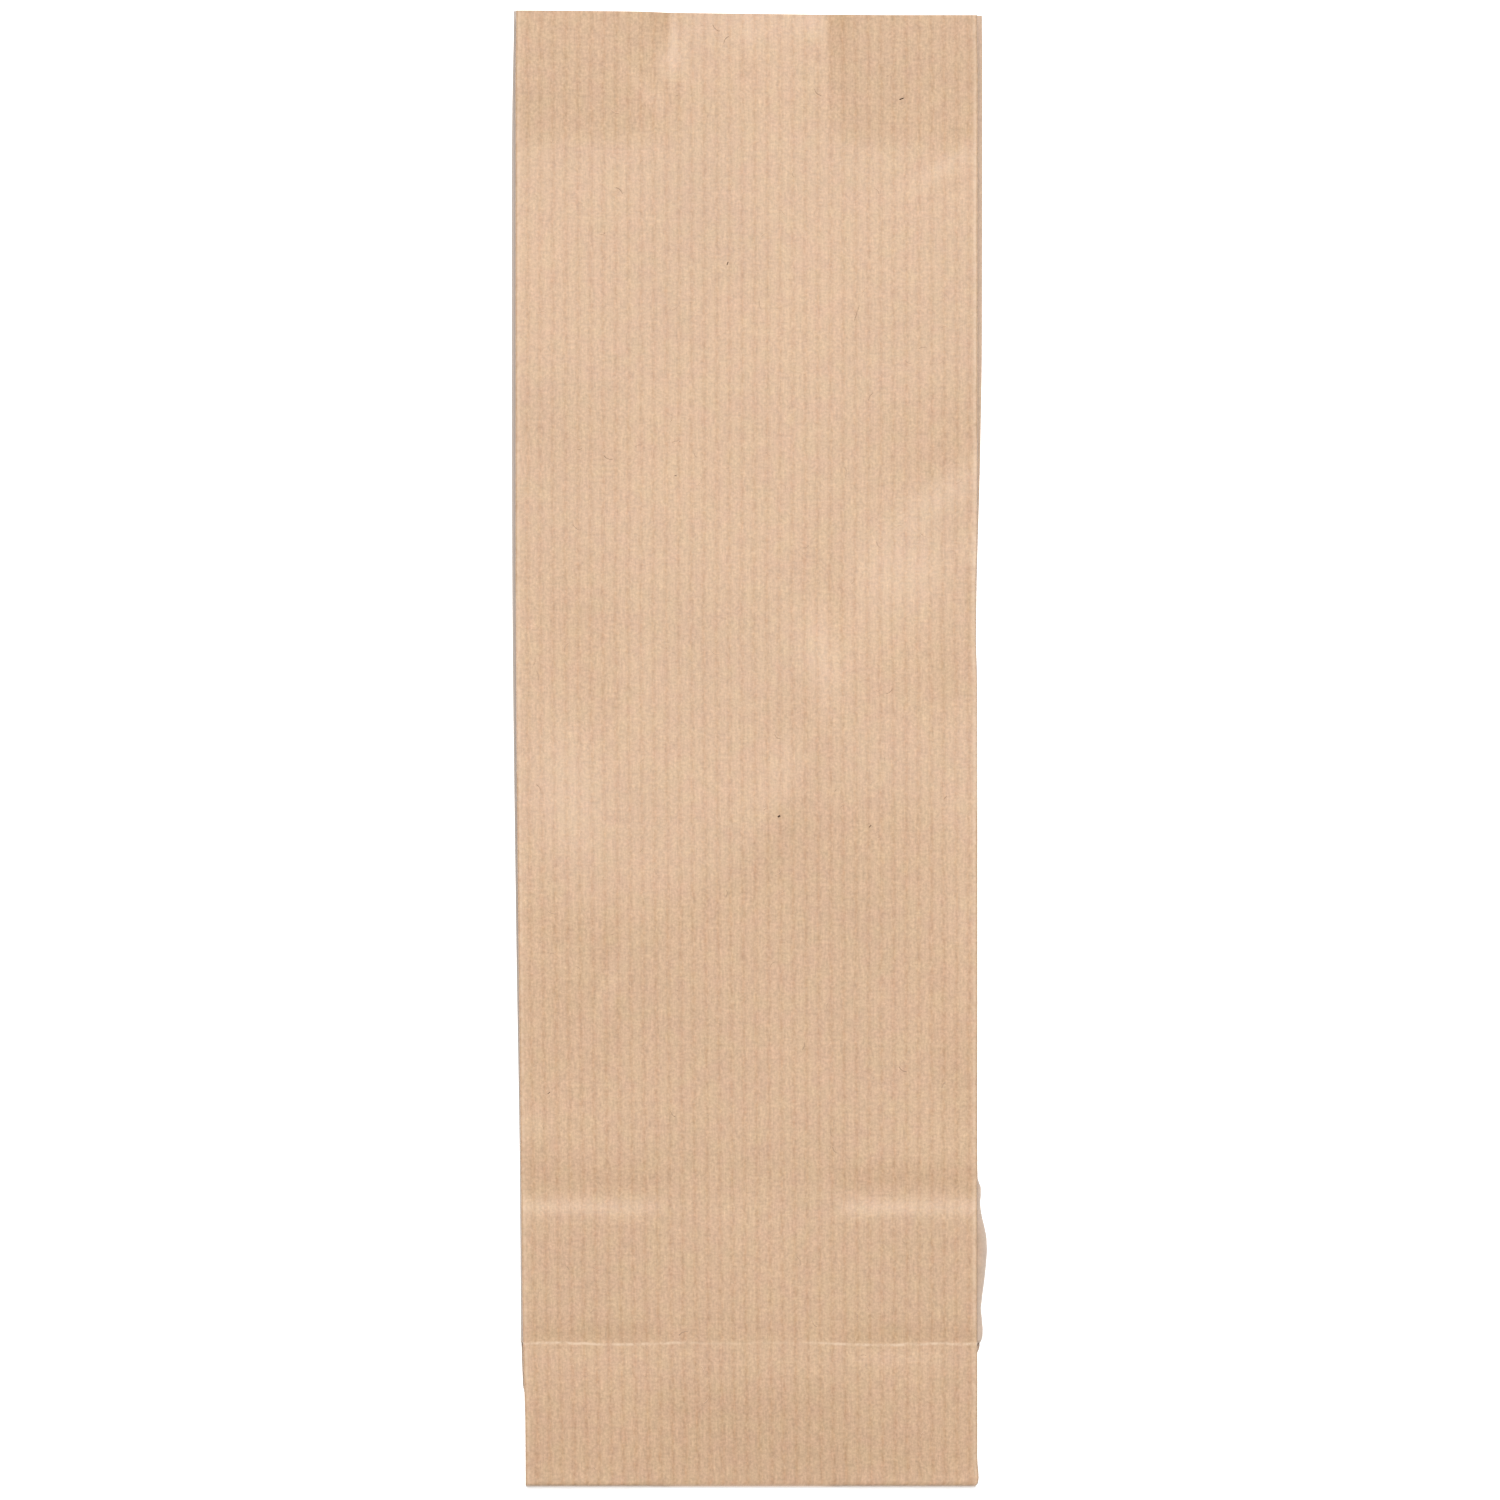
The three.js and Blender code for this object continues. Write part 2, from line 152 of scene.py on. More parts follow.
# Edges of the lower leaf, which slipped sideways and swells out just above the base fold.
FURTHEST_LEFT = -41.0
REAR_LEFT = curve_through((HALF_DEPTH, -39.35), (50, -39.5), (100, -40.25), (157, -40.88),
                          (200, FURTHEST_LEFT), (225, FURTHEST_LEFT), (240, -40.87),
                          (BAG_LENGTH, -40.6))
REAR_RIGHT = curve_through((HALF_DEPTH, 40.5), (26, 40.95), (28, 41.05), (30.5, 40.7), (36, 41.35),
                           (42, 41.85), (49.5, 40.6), (51.5, 40.8), (54, 40.1), (150, 39.9),
                           (180, 40.6), (200, 40.9), (250, 40.97), (BAG_LENGTH, 40.9))

# How far the folded base stands in from the upper leaf's edges. It shows a little past them where
# the lower leaf folds over onto it.
BASE_INSET_LEFT = curve_through((0, 0), (0.4, 0.2), (14, 0.2), (18, -0.3), (27, -0.3), (31, 0.2),
                                (BAG_LENGTH, 0.2))
BASE_INSET_RIGHT = curve_through((0, 0), (0.4, 0.2), (22.4, 0.2), (24.4, -0.45), (26, -0.45),
                                 (29, 0.2), (BAG_LENGTH, 0.2))

# Heights of the front panel over the gussets and along its middle.
FOOT_ROUND = 0.4
PAST_MOUTH = BAG_LENGTH + 8
FRONT_OVER_GUSSETS = curve_through(
    (0, 1.6), (FOOT_ROUND, 2.0), (2, 2.04), (6, 2.3), (12, 2.68), (20, 2.93), (24.7, 2.88),
    (29, 3.2), (38, 3.3), (46.6, 3.36), (50.6, 3.04), (57, 3.33), (75, 3.2), (119, 3.1), (150, 2.96),
    (180, 2.86), (205, 2.83), (222, 2.83), (234, 2.8), (PAST_MOUTH, 2.8))
FRONT_ALONG_MIDDLE = curve_through(
    (0, 1.05), (FOOT_ROUND, 1.2), (3, 1.4), (6, 1.66), (12, 2.22), (19, 2.74), (24.7, 2.74),
    (30, 2.92), (44, 3.05), (51, 2.97), (60, 3.05), (75, 3), (119, 2.93), (150, 2.78), (180, 2.7),
    (233, 2.7), (246, 2.92), (251, 2.97), (BAG_LENGTH, 2.92), (PAST_MOUTH, 2.8))

# Where the panel climbs from its middle onto the gussets, on the left and on the right.
CLIMB_LEFT = (-12.0, -20.0)
CLIMB_RIGHT = (13.0, 19.0)

# The soft buckle that crosses the front on a slant, along a line from x to v.
BUCKLE_LINE = curve_through((-HALF_WIDTH, 95), (-24, 99), (-1, 109), (6, 117), (16, 120),
                            (HALF_WIDTH, 119))
BUCKLE_RISE = 1.15
BUCKLE_BELOW = 32.0
BUCKLE_ABOVE = 34.0
BUCKLE_ROUNDING = 4.5

# The gussets spring open at the mouth and lift both sides of the front from a fold across them.
# The cut across the mouth is askew, and the lower leaf reaches a little past the upper one.
MOUTH_FOLD_V = 234.0
MOUTH_FOLD_ROUNDING = 1.0
MOUTH_LIFT = 1.6
MOUTH_ASKEW = curve_through((-HALF_WIDTH, 0.8), (-25, 0.7), (-5, 0.42), (12, 0.2), (25, 0))
REAR_PAST_FRONT = 0.25

# Soft dents of the front panel: (x, v, reach across, reach along, climb to the right, fall). The
# fall is how steeply the dent's middle slopes down towards the mouth.
SOFT_DENTS = (
    (13.2, 144, 3.8, 12, 0, 0.068),
    (6.5, 125, 5, 8, 1.6, 0.055),
    (-31, 120, 7, 22, 0, 0.066),
    (37, 103, 4.5, 20, 0, 0.09),
    (37, 116.5, 4.5, 9, 0, 0.05),
    (37, 130, 4.5, 18, 0, 0.08),
    (36.5, 150, 4.5, 10, 0, 0.05),
    (36.5, 84, 4, 9, 0, 0.04),
    (-34, 97.5, 6, 2.5, -0.2, -0.05),
    (-33, 91, 7, 6, 0, 0.03),
    (-23.5, 87.5, 3, 6, 2.2, 0.08),
    (-34, 74.6, 4, 3, 0, -0.05),
    (-36.5, 63, 2.5, 4, 0, 0.085),
    (-27, 182, 13, 11, 0, -0.02),
    (28, 186, 14, 7, 0.3, -0.015),
    (35, 173.5, 7, 5, 0.55, 0.08),
    (32, 162, 13, 15, 0.3, 0.07),
    (39.5, 162, 1.2, 6, 0, 0.05),
    (28, 54.5, 14, 2.5, 0, -0.06),
    (26, 22.5, 9, 2.5, 0, 0.05),
    (34, 229.5, 7, 2, 0.59, 0.11),
    (-13, 249, 1.8, 8, 0, 0.08),
    (-17, 242, 3.5, 2.5, -1.1, 0.1),
    (0.5, 253, 1.5, 5, 0, 0.05),
    (11.5, 254, 3, 3, 0, 0.05),
)

# The unevenness of paper that has been handled: how far apart its waves are, and their height.
HANDLING = ((17.0, 0.05), (6.0, 0.014))
HANDLING_SEED = 4.2
HANDLING_FADE = 12.0

# Heights of the lower leaf's outer face and of the line where the leaves meet, and how far apart
# the gussets hold the leaves at their edges.
REAR_UNDER = curve_through((25, 1.7), (45, 1.7), (50.6, 1.3), (57, 0.4), (62, 0),
                           (BAG_LENGTH, 0))
LEAF_MEETING = curve_through((0, 1.45), (12, 1.85), (HALF_DEPTH, 2.35), (46, 2.4), (51, 2.1),
                             (62, 1.8), (110, 1.95), (233, 1.1), (BAG_LENGTH, 1.4))
GUSSET_OPENING = curve_through((HALF_DEPTH, 0.2), (46, 0.35), (51, 0.55), (62, 1.7),
                               (110, 2.5), (180, 1.5), (233, 0.8), (BAG_LENGTH, 1.5))
GUSSET_INNER_HALF_GAP = 0.09
GUSSET_LEAVES_BASE = (24.0, 28.0)

# The side folds: how thick they are and how tightly the paper turns in them. The lower leaf's
# sags by a share of how far it sticks out past the base.
SIDE_FOLD = 0.6
SIDE_RADIUS = 0.3
FRONT_SIDE_RADIUS = 0.16
INNER_RADIUS = 0.12
REAR_SAG = 0.6
REAR_FOLD_LOWEST = 0.28

# Levels in the folded base, from its top sheet down. A step is the least that a layer lies below
# the top sheet.
BASE_TOP = 1.44
BASE_EDGE_ROUND = 6.0
BASE_EDGE_DROP = 0.7
BASE_REAR_GUSSET = 1.02
BASE_GUSSET_STEP = 0.42
BASE_TRIANGLE = 0.62
BASE_TRIANGLE_STEP = 0.66
SIDE_FLAP = 0.36
SIDE_FLAP_STEP = 0.85
LOWER_FLAP = 0.21
UPPER_FLAP = HALF_SHEET
LAP = 0.13

# Levels of the creases, and how tightly the paper turns there.
FOOT_LEVEL = 1.1
REAR_CREASE_LEVEL = 1.6
REAR_CREASE_RADIUS = 0.2
BASE_EDGE_LEVEL = 0.4
BASE_EDGE_RADIUS = 0.35
DIAGONAL_LEVEL = 0.83
DIAGONAL_RADIUS = 0.2
SIDE_FLAP_LEVEL = 0.49
SIDE_FLAP_RADIUS = 0.13
CORNER_RADIUS = 0.6
APEX_RADIUS = 0.8


# ---------------------------------------------------------------------------------------------
# The folded sheet: where each of its points lies in the flat bag.

def over_gusset(x):
    """1 over the gussets and 0 along the middle of the panel, where there are two sheets."""
    return smoothstep(x, *CLIMB_LEFT) if x < 0 else smoothstep(x, *CLIMB_RIGHT)


def buckle(x, v):
    past = v - BUCKLE_LINE(x)
    reach = BUCKLE_BELOW if past < 0 else BUCKLE_ABOVE
    ridge = math.hypot(past, BUCKLE_ROUNDING) - BUCKLE_ROUNDING
    return BUCKLE_RISE * math.exp(-ridge / reach)


def mouth_lift(x, v):
    past = v - MOUTH_FOLD_V
    rounded = (past + math.hypot(past, MOUTH_FOLD_ROUNDING)) / 2
    return MOUTH_LIFT * rounded / (BAG_LENGTH - MOUTH_FOLD_V) * over_gusset(x)


def soft_dents(x, v):
    height = 0.0
    for dent_x, dent_v, across, along, climb, fall in SOFT_DENTS:
        up = v - dent_v - climb * (x - dent_x)
        height -= fall * up * bump(up, along) * bump(x - dent_x, across)
    return height


def handling(x, v):
    """Faint waves of handled paper, which fade out towards the foot and the mouth."""
    fade = smoothstep(v, 0, HANDLING_FADE) * smoothstep(BAG_LENGTH - v, 0, HANDLING_FADE)
    return fade * sum(height * noise.noise(Vector((x / spacing, v / spacing, HANDLING_SEED)))
                      for spacing, height in HANDLING)


def front_level(x, v):
    """The middle of the front panel's sheet, away from its folds."""
    height = lerp(FRONT_ALONG_MIDDLE(v), FRONT_OVER_GUSSETS(v), over_gusset(x))
    return height + buckle(x, v) + mouth_lift(x, v) + soft_dents(x, v) + handling(x, v) - HALF_SHEET


def back_level(v):
    """The middle of the back panel's sheet, above the fold at HALF_DEPTH."""
    return REAR_UNDER(v) + HALF_SHEET


def base_level(v):
    """The middle of the uppermost sheet of the folded base."""
    t = clamp(1 - (BASE_DEPTH - v) / BASE_EDGE_ROUND)
    return BASE_TOP - BASE_EDGE_DROP * (1 - math.sqrt(1 - t * t))


def folded(level, crease, distance, radius):
    """The level of a sheet that turns over in a round fold at the given distance."""
    t = clamp(1 - distance / radius)
    return crease + (level - crease) * math.sqrt(1 - t * t)


def side_of(x):
    return -1 if x < 0 else 1


def between(edge, x, v):
    """The place as far from the edges at this height as x is from those of an even panel."""
    return lerp(edge(-1, v), edge(1, v), (x + HALF_WIDTH) / PANEL_WIDTH)


def front_edge(side, v):
    return FRONT_LEFT(v) if side < 0 else FRONT_RIGHT(v)


def rear_edge(side, v):
    return REAR_LEFT(v) if side < 0 else REAR_RIGHT(v)


def base_edge(side, v):
    inset = BASE_INSET_LEFT(v) if side < 0 else BASE_INSET_RIGHT(v)
    return front_edge(side, v) - side * inset


def turned_edge(side, v):
    """The edge of the strip that folds back on the base, between HALF_DEPTH and BASE_DEPTH."""
    share = (v - HALF_DEPTH) / HALF_DEPTH
    return lerp(rear_edge(side, HALF_DEPTH), base_edge(side, BASE_DEPTH), share)


def rear_fold(side, v, back, outer):
    """The level of the lower leaf's side fold, and how wide it turns: it sags where it sticks out."""
    sticks_out = max(0.0, side * (rear_edge(side, v) - base_edge(side, v)))
    level = (back + outer) / 2 - REAR_SAG * sticks_out
    return max(level, REAR_FOLD_LOWEST), SIDE_RADIUS + sticks_out


def side_crease(side, v):
    return front_level(front_edge(side, v), v) - SIDE_FOLD / 2


def front_panel(x, h):
    across = between(front_edge, x, h)
    from_edge = HALF_WIDTH - abs(x)
    z = folded(front_level(across, h), side_crease(side_of(x), h), from_edge, FRONT_SIDE_RADIUS)
    return across, h, folded(z, FOOT_LEVEL, h, FOOT_ROUND)


def gathered(level, s, h):
    """The level of a gusset's sheet near the tip of its triangle, where all its creases meet."""
    from_tip = math.hypot(HALF_DEPTH - s, HALF_DEPTH - h)
    return folded(level, REAR_CREASE_LEVEL, from_tip, APEX_RADIUS)


def past_front(share, h):
    """How far up the sheet has slid past the front panel. share is 0 there and 1 at the back."""
    return REAR_PAST_FRONT * share * h / BAG_LENGTH


def base_triangle(side, s, h, rear):
    """The part of a gusset that lies folded between the layers of the base."""
    v = BASE_DEPTH - s if rear else s
    x = lerp(base_edge(side, v), side * GUSSET_CREASE, h / HALF_DEPTH)
    z = min(BASE_TRIANGLE, base_level(v) - BASE_TRIANGLE_STEP)
    z = folded(z, DIAGONAL_LEVEL, s - h, DIAGONAL_RADIUS)
    z = folded(z, SIDE_FLAP_LEVEL, h, SIDE_FLAP_RADIUS)
    z = folded(z, BASE_EDGE_LEVEL if rear else FOOT_LEVEL, math.hypot(s, h), CORNER_RADIUS)
    return x, v, gathered(z, s, h)


def front_gusset(side, s, h):
    """The gusset half under the front panel, s in from the bag's edge."""
    if h < s:
        return base_triangle(side, s, h, rear=False)
    v = h + past_front(s / HALF_DEPTH / 2, h)
    edge = front_edge(side, v)
    x = lerp(edge, side * GUSSET_CREASE, s / HALF_DEPTH)
    lowest = LEAF_MEETING(v) + GUSSET_OPENING(v) / 2 + HALF_SHEET
    outer = max(front_level(edge, v) - SIDE_FOLD, lowest)
    inner = LEAF_MEETING(v) + GUSSET_INNER_HALF_GAP
    inner = lerp(DIAGONAL_LEVEL + DIAGONAL_RADIUS, inner, smoothstep(v, *GUSSET_LEAVES_BASE))
    z = lerp(outer, inner, s / clamp(h, CLOSE, HALF_DEPTH))
    z = folded(z, side_crease(side, v), s, FRONT_SIDE_RADIUS)
    if h > HALF_DEPTH:
        z = folded(z, LEAF_MEETING(v), HALF_DEPTH - s, INNER_RADIUS)
    else:
        z = folded(z, DIAGONAL_LEVEL, h - s, DIAGONAL_RADIUS)
    z = folded(z, FOOT_LEVEL, math.hypot(s, h), CORNER_RADIUS)
    return x, v, gathered(z, s, h)


def rear_gusset(side, s, h):
    """The gusset half over the back panel, s in from the bag's edge."""
    if h < s and h < HALF_DEPTH:
        return base_triangle(side, s, h, rear=True)
    if h < HALF_DEPTH:
        v = BASE_DEPTH - h
        x = lerp(turned_edge(side, v), side * GUSSET_CREASE, s / HALF_DEPTH)
        z = min(BASE_REAR_GUSSET, base_level(v) - BASE_GUSSET_STEP)
        z = folded(z, (z + base_level(v)) / 2, s, REAR_CREASE_RADIUS)
        z = folded(z, DIAGONAL_LEVEL, h - s, DIAGONAL_RADIUS)
        z = folded(z, BASE_EDGE_LEVEL, math.hypot(s, h), CORNER_RADIUS)
        return x, v, folded(z, REAR_CREASE_LEVEL, HALF_DEPTH - h, SIDE_RADIUS)
    v = h + past_front(1 - s / HALF_DEPTH / 2, h)
    x = lerp(rear_edge(side, v), side * GUSSET_CREASE, s / HALF_DEPTH)
    highest = LEAF_MEETING(v) - GUSSET_OPENING(v) / 2 - HALF_SHEET
    back = back_level(v)
    outer = min(back + SIDE_FOLD, highest)
    z = lerp(outer, LEAF_MEETING(v) - GUSSET_INNER_HALF_GAP, s / HALF_DEPTH)
    crease, radius = rear_fold(side, v, back, outer)
    z = folded(z, crease, s, radius)
    z = folded(z, LEAF_MEETING(v), HALF_DEPTH - s, INNER_RADIUS)
    return x, v, folded(z, REAR_CREASE_LEVEL, h - HALF_DEPTH, SIDE_RADIUS)


def lapped(x, u):
    """How far in the sheet lies from the back's outer face, where its two ends are glued."""
    if u < 0:
        return 0.0
    return LAP * clamp(1 - (x - SEAM_FROM_MIDDLE) / SEAM_FADE)


def back_panel(x, h, u):
    from_edge = HALF_WIDTH - abs(x)
    if h < HALF_DEPTH:
        v = BASE_DEPTH - h
        across = between(turned_edge, x, v)
        z = base_level(v) - lapped(x, u)
        z = folded(z, z - BASE_GUSSET_STEP / 2, from_edge, REAR_CREASE_RADIUS)
        z = folded(z, BASE_EDGE_LEVEL, h, BASE_EDGE_RADIUS)
        return across, v, folded(z, REAR_CREASE_LEVEL, HALF_DEPTH - h, REAR_CREASE_RADIUS)
    v = h + past_front(1, h)
    across = between(rear_edge, x, v)
    back = back_level(v)
    highest = LEAF_MEETING(v) - GUSSET_OPENING(v) / 2 - HALF_SHEET
    outer = min(back + SIDE_FOLD, highest)
    crease, radius = rear_fold(side_of(x), v, back, outer)
    z = folded(back, crease, from_edge, radius) + lapped(x, u)
    return across, v, folded(z, REAR_CREASE_LEVEL, h - HALF_DEPTH, REAR_CREASE_RADIUS)


def tube(u, h):
    """Where the point u round and h up the sheet lies in the folded bag."""
    side = side_of(u)
    if abs(u) <= FRONT_EDGE_U:
        return front_panel(u, h)
    if abs(u) <= INNER_CREASE_U:
        return front_gusset(side, abs(u) - FRONT_EDGE_U, h)
    if abs(u) < REAR_EDGE_U:
        return rear_gusset(side, REAR_EDGE_U - abs(u), h)
    return back_panel(side * (REAR_EDGE_U + HALF_WIDTH - abs(u)), h, u)


def lower_flap(u, depth):
    """The front panel's flap, which narrows by as much as it is deep, so it ends at 45 degrees."""
    x = u * (HALF_WIDTH - depth) / HALF_WIDTH
    across = between(base_edge, x, depth)
    return (across, depth, folded(LOWER_FLAP, FOOT_LEVEL, depth, FOOT_ROUND)), (x, -depth)


def upper_flap(u, depth):
    """The back panel's flap, the outermost. Each side of the seam keeps its share of the width."""
    side = side_of(u)
    seam_u = SEAM_LEFT_U if u < 0 else SEAM_RIGHT_U
    from_seam = (seam_u - abs(u)) / (seam_u - REAR_EDGE_U)
    seam_x = min(SEAM_FROM_MIDDLE, HALF_WIDTH - depth)
    x = lerp(seam_x, side * (HALF_WIDTH - depth), from_seam)
    v = BASE_DEPTH - depth
    across = between(base_edge, x, v)
    z = folded(UPPER_FLAP + lapped(x, u), BASE_EDGE_LEVEL, depth, BASE_EDGE_RADIUS)
    return (across, v, z), (side * (REAR_EDGE_U + HALF_WIDTH) - x, -depth)


def side_flap(u, depth):
    """The gusset's flap: a triangle that runs in under the base from the bag's edge."""
    side = side_of(u)
    along = abs(u) - INNER_CREASE_U
    narrowed = along * (HALF_DEPTH - depth) / HALF_DEPTH
    v = HALF_DEPTH + narrowed
    x = lerp(base_edge(side, v), side * GUSSET_CREASE, depth / HALF_DEPTH)
    z = min(SIDE_FLAP, base_level(v) - SIDE_FLAP_STEP)
    z = folded(z, SIDE_FLAP_LEVEL, depth, SIDE_FLAP_RADIUS)
    corner = math.hypot(HALF_DEPTH - abs(along), depth)
    z = folded(z, FOOT_LEVEL if along < 0 else BASE_EDGE_LEVEL, corner, CORNER_RADIUS)
    return (x, v, z), (side * (INNER_CREASE_U + narrowed), -depth)


def in_frame(place):
    """A point of the folded bag in the model's frame, in metres. The mouth is cut a little askew."""
    x, v, z = place
    stretched = v * (1 + MOUTH_ASKEW(x) / BAG_LENGTH)
    return CAD_LOW[0] + (x - FURTHEST_LEFT) * MM, CAD_LOW[1] + stretched * MM, z * MM


# ---------------------------------------------------------------------------------------------
# The sheet as a mesh. Its rows and columns crowd together where the paper folds, and the gusset
# columns stand as far from the creases as the lowest rows, so that the slanting creases of the
# block bottom run through the corners of the mesh.

RIB_PITCH = 2.186
RIB_HEIGHT = 0.016
RIB_AT = 1.4
CREASE_STEPS = (0, 0.12, 0.3, 0.6)
FOLD_STEPS = (0, 0.12, 0.3, 0.6, 1, 1.6, 2.5, 3.75, 5, 7.5, 10, 12.5, 15, 17.5, 20, 21.25, 22.4,
              23.3, 24, 24.4, 24.7, 24.88, HALF_DEPTH)
TAB_STEPS = (0, 0.6, 4, 8, 12, SEAM_TAB)
FOLDED_ROWS = (25.12, 25.3, 25.6, 26, 26.6, 27.5, 29, 31, 33.5, 36, 38.5, 41, 43.5, 45.2, 46.8,
               47.8, 48.7, 49.6, 50.6, 52, 53.5, 55.2, 57, 59.5)
BODY_FROM = 62.0
BODY_STEP = 2.6
MOUTH_FROM = MOUTH_FOLD_V - 6
MOUTH_STEP = 1.7
COLUMNS_ON_FRONT_RIB = 4
COLUMNS_ON_REAR_RIB = 2
FLAP_ROWS = (0.12, 0.3, 0.6, 1, 1.6, 2.5, 5, 10, 15, 20)
FULL_FLAP_ROWS = (*FLAP_ROWS, 26, FLAP_REACH)
SIDE_FLAP_ROWS = (*FLAP_ROWS, HALF_DEPTH - 0.2)
RIGHT_FLAP_ROWS = (*FLAP_ROWS, HALF_WIDTH - SEAM_FROM_MIDDLE - 0.1)


def even_steps(start, end, step):
    count = math.ceil((end - start) / step)
    return [start + (end - start) * i / count for i in range(count)]


def panel_columns(start, end, each_rib):
    """Columns from one crease or cut edge to the next, with the given number on each rib."""
    step = RIB_PITCH / each_rib
    clear = CREASE_STEPS[-1] + step / 2
    first = math.ceil((start + clear - RIB_AT) / step)
    last = math.floor((end - clear - RIB_AT) / step)
    ribs = [RIB_AT + step * i for i in range(first, last + 1)]
    return ([start + step for step in CREASE_STEPS] + ribs
            + [end - step for step in reversed(CREASE_STEPS)])


def sheet_columns():
    gusset_in = [FRONT_EDGE_U + step for step in FOLD_STEPS]
    gusset_out = [REAR_EDGE_U - step for step in FOLD_STEPS]
    both_gussets = sorted(set(gusset_in + gusset_out))
    columns = set(panel_columns(-SEAM_LEFT_U, -REAR_EDGE_U, COLUMNS_ON_REAR_RIB))
    columns.update(panel_columns(-FRONT_EDGE_U, FRONT_EDGE_U, COLUMNS_ON_FRONT_RIB))
    columns.update(panel_columns(REAR_EDGE_U, SEAM_RIGHT_U, COLUMNS_ON_REAR_RIB))
    columns.update(both_gussets)
    columns.update(-u for u in both_gussets)
    columns.update(SEAM_RIGHT_U + step for step in TAB_STEPS)
    return sorted(columns)


def sheet_rows():
    return [*FOLD_STEPS, *FOLDED_ROWS, *even_steps(BODY_FROM, MOUTH_FROM, BODY_STEP),
            *even_steps(MOUTH_FROM, BAG_LENGTH, MOUTH_STEP), BAG_LENGTH]


def on_slant(u, h):
    """Whether the point lies on a slanting crease of the block bottom, at 45 degrees from the
    foot of one of a gusset's outer creases."""
    in_gusset = FRONT_EDGE_U <= abs(u) <= REAR_EDGE_U
    return in_gusset and abs(min(abs(u) - FRONT_EDGE_U, REAR_EDGE_U - abs(u)) - h) < CLOSE


def slant_between(left, right, bottom, top):
    """Which way a slanting crease runs through the face with these edges: 1 rising, -1 falling
    and 0 where there is none."""
    if top > HALF_DEPTH + CLOSE:
        return 0
    if on_slant(left, bottom) and on_slant(right, top):
        return 1
    return -1 if on_slant(right, bottom) and on_slant(left, top) else 0


class SheetMesh:
    """Collects the folded sheet's corners, their places on the paper and its faces."""

    def __init__(self):
        self.corners = []
        self.on_paper = []
        self.faces = []

    def corner(self, place, on_paper):
        self.corners.append(in_frame(place))
        self.on_paper.append(on_paper)
        return len(self.corners) - 1

    def strip(self, lower, upper, slants=None):
        """Faces between two rows of corners. One with a slant through it is cut along that."""
        slants = slants or [0] * (len(lower) - 1)
        for i, slant in enumerate(slants):
            near, far = (lower[i], lower[i + 1]), (upper[i + 1], upper[i])
            if slant > 0:
                self.faces += [(near[0], near[1], far[0]), (near[0], far[0], far[1])]
            elif slant < 0:
                self.faces += [(near[0], near[1], far[1]), (near[1], far[0], far[1])]
            else:
                self.faces.append((*near, *far))


def build_tube(sheet):
    """The tube of the bag, from the crease round the block bottom to the mouth."""
    columns, rows = sheet_columns(), sheet_rows()
    grid = [[sheet.corner(tube(u, h), (u, h)) for u in columns] for h in rows]
    for row, (bottom, top) in enumerate(zip(rows, rows[1:])):
        slants = [slant_between(*sides, bottom, top) for sides in zip(columns, columns[1:])]
        sheet.strip(grid[row], grid[row + 1], slants)
    return columns, grid[0]


def build_flap(sheet, columns, edge, shape, start, end, depths):
    """A flap of the block bottom that hangs on the columns from start to end."""
    chosen = [i for i, u in enumerate(columns) if start - CLOSE <= u <= end + CLOSE]
    nearer = [edge[i] for i in chosen]
    for depth in depths:
        deeper = [sheet.corner(*shape(columns[i], depth)) for i in chosen]
        sheet.strip(deeper, nearer)
        nearer = deeper


def folded_sheet():
    """The whole sheet, folded, one layer of faces through the middle of the paper."""
    sheet = SheetMesh()
    columns, edge = build_tube(sheet)
    for shape, start, end, depths in (
        (lower_flap, -FRONT_EDGE_U, FRONT_EDGE_U, FULL_FLAP_ROWS),
        (upper_flap, -SEAM_LEFT_U, -REAR_EDGE_U, FULL_FLAP_ROWS),
        (upper_flap, REAR_EDGE_U, SEAM_RIGHT_U, RIGHT_FLAP_ROWS),
        (side_flap, -REAR_EDGE_U, -FRONT_EDGE_U, SIDE_FLAP_ROWS),
        (side_flap, FRONT_EDGE_U, REAR_EDGE_U, SIDE_FLAP_ROWS),
    ):
        build_flap(sheet, columns, edge, shape, start, end, depths)
    mesh = bpy.data.meshes.new("folded_sheet")
    mesh.from_pydata(sheet.corners, [], sheet.faces)
    paper = mesh.uv_layers.new(name=PAPER_UV)
    for loop in mesh.loops:
        u, h = sheet.on_paper[loop.vertex_index]
        paper.data[loop.index].uv = (u + MAP_LEFT) / PAPER_MAP, (h + MAP_BELOW) / PAPER_MAP
    return mesh


# ---------------------------------------------------------------------------------------------
# Nodes and colours.

def linear(hex_colour):
    """An sRGB hex colour as the linear RGBA that sockets hold."""
    channels = [int(hex_colour[i:i + 2], 16) / 255 for i in (1, 3, 5)]
    bent = [c / 12.92 if c <= 0.04045 else ((c + 0.055) / 1.055) ** 2.4 for c in channels]
    return (*bent, 1.0)


def add_node(tree, kind, sockets=None, **settings):
    """Adds a node with its settings. A socket takes a value, or a link where it is given one."""
    node = tree.nodes.new(kind)
    for name, value in settings.items():
        setattr(node, name, value)
    for key, value in (sockets or {}).items():
        socket = node.inputs[key] if isinstance(key, int) else next(
            entry for entry in node.inputs if entry.name == key and entry.enabled)
        if isinstance(value, bpy.types.Node):
            value = next(output for output in value.outputs if output.enabled)
        if isinstance(value, bpy.types.NodeSocket):
            tree.links.new(value, socket)
        else:
            socket.default_value = value
    return node


def calculate(tree, operation, *values, **settings):
    return add_node(tree, "ShaderNodeMath", dict(enumerate(values)), operation=operation,
                    **settings)


def spread(tree, value, start, end, low, high, **settings):
    """Maps start to end onto low to high."""
    return add_node(tree, "ShaderNodeMapRange", {
        "Value": value, "From Min": start, "From Max": end, "To Min": low, "To Max": high},
        **settings)


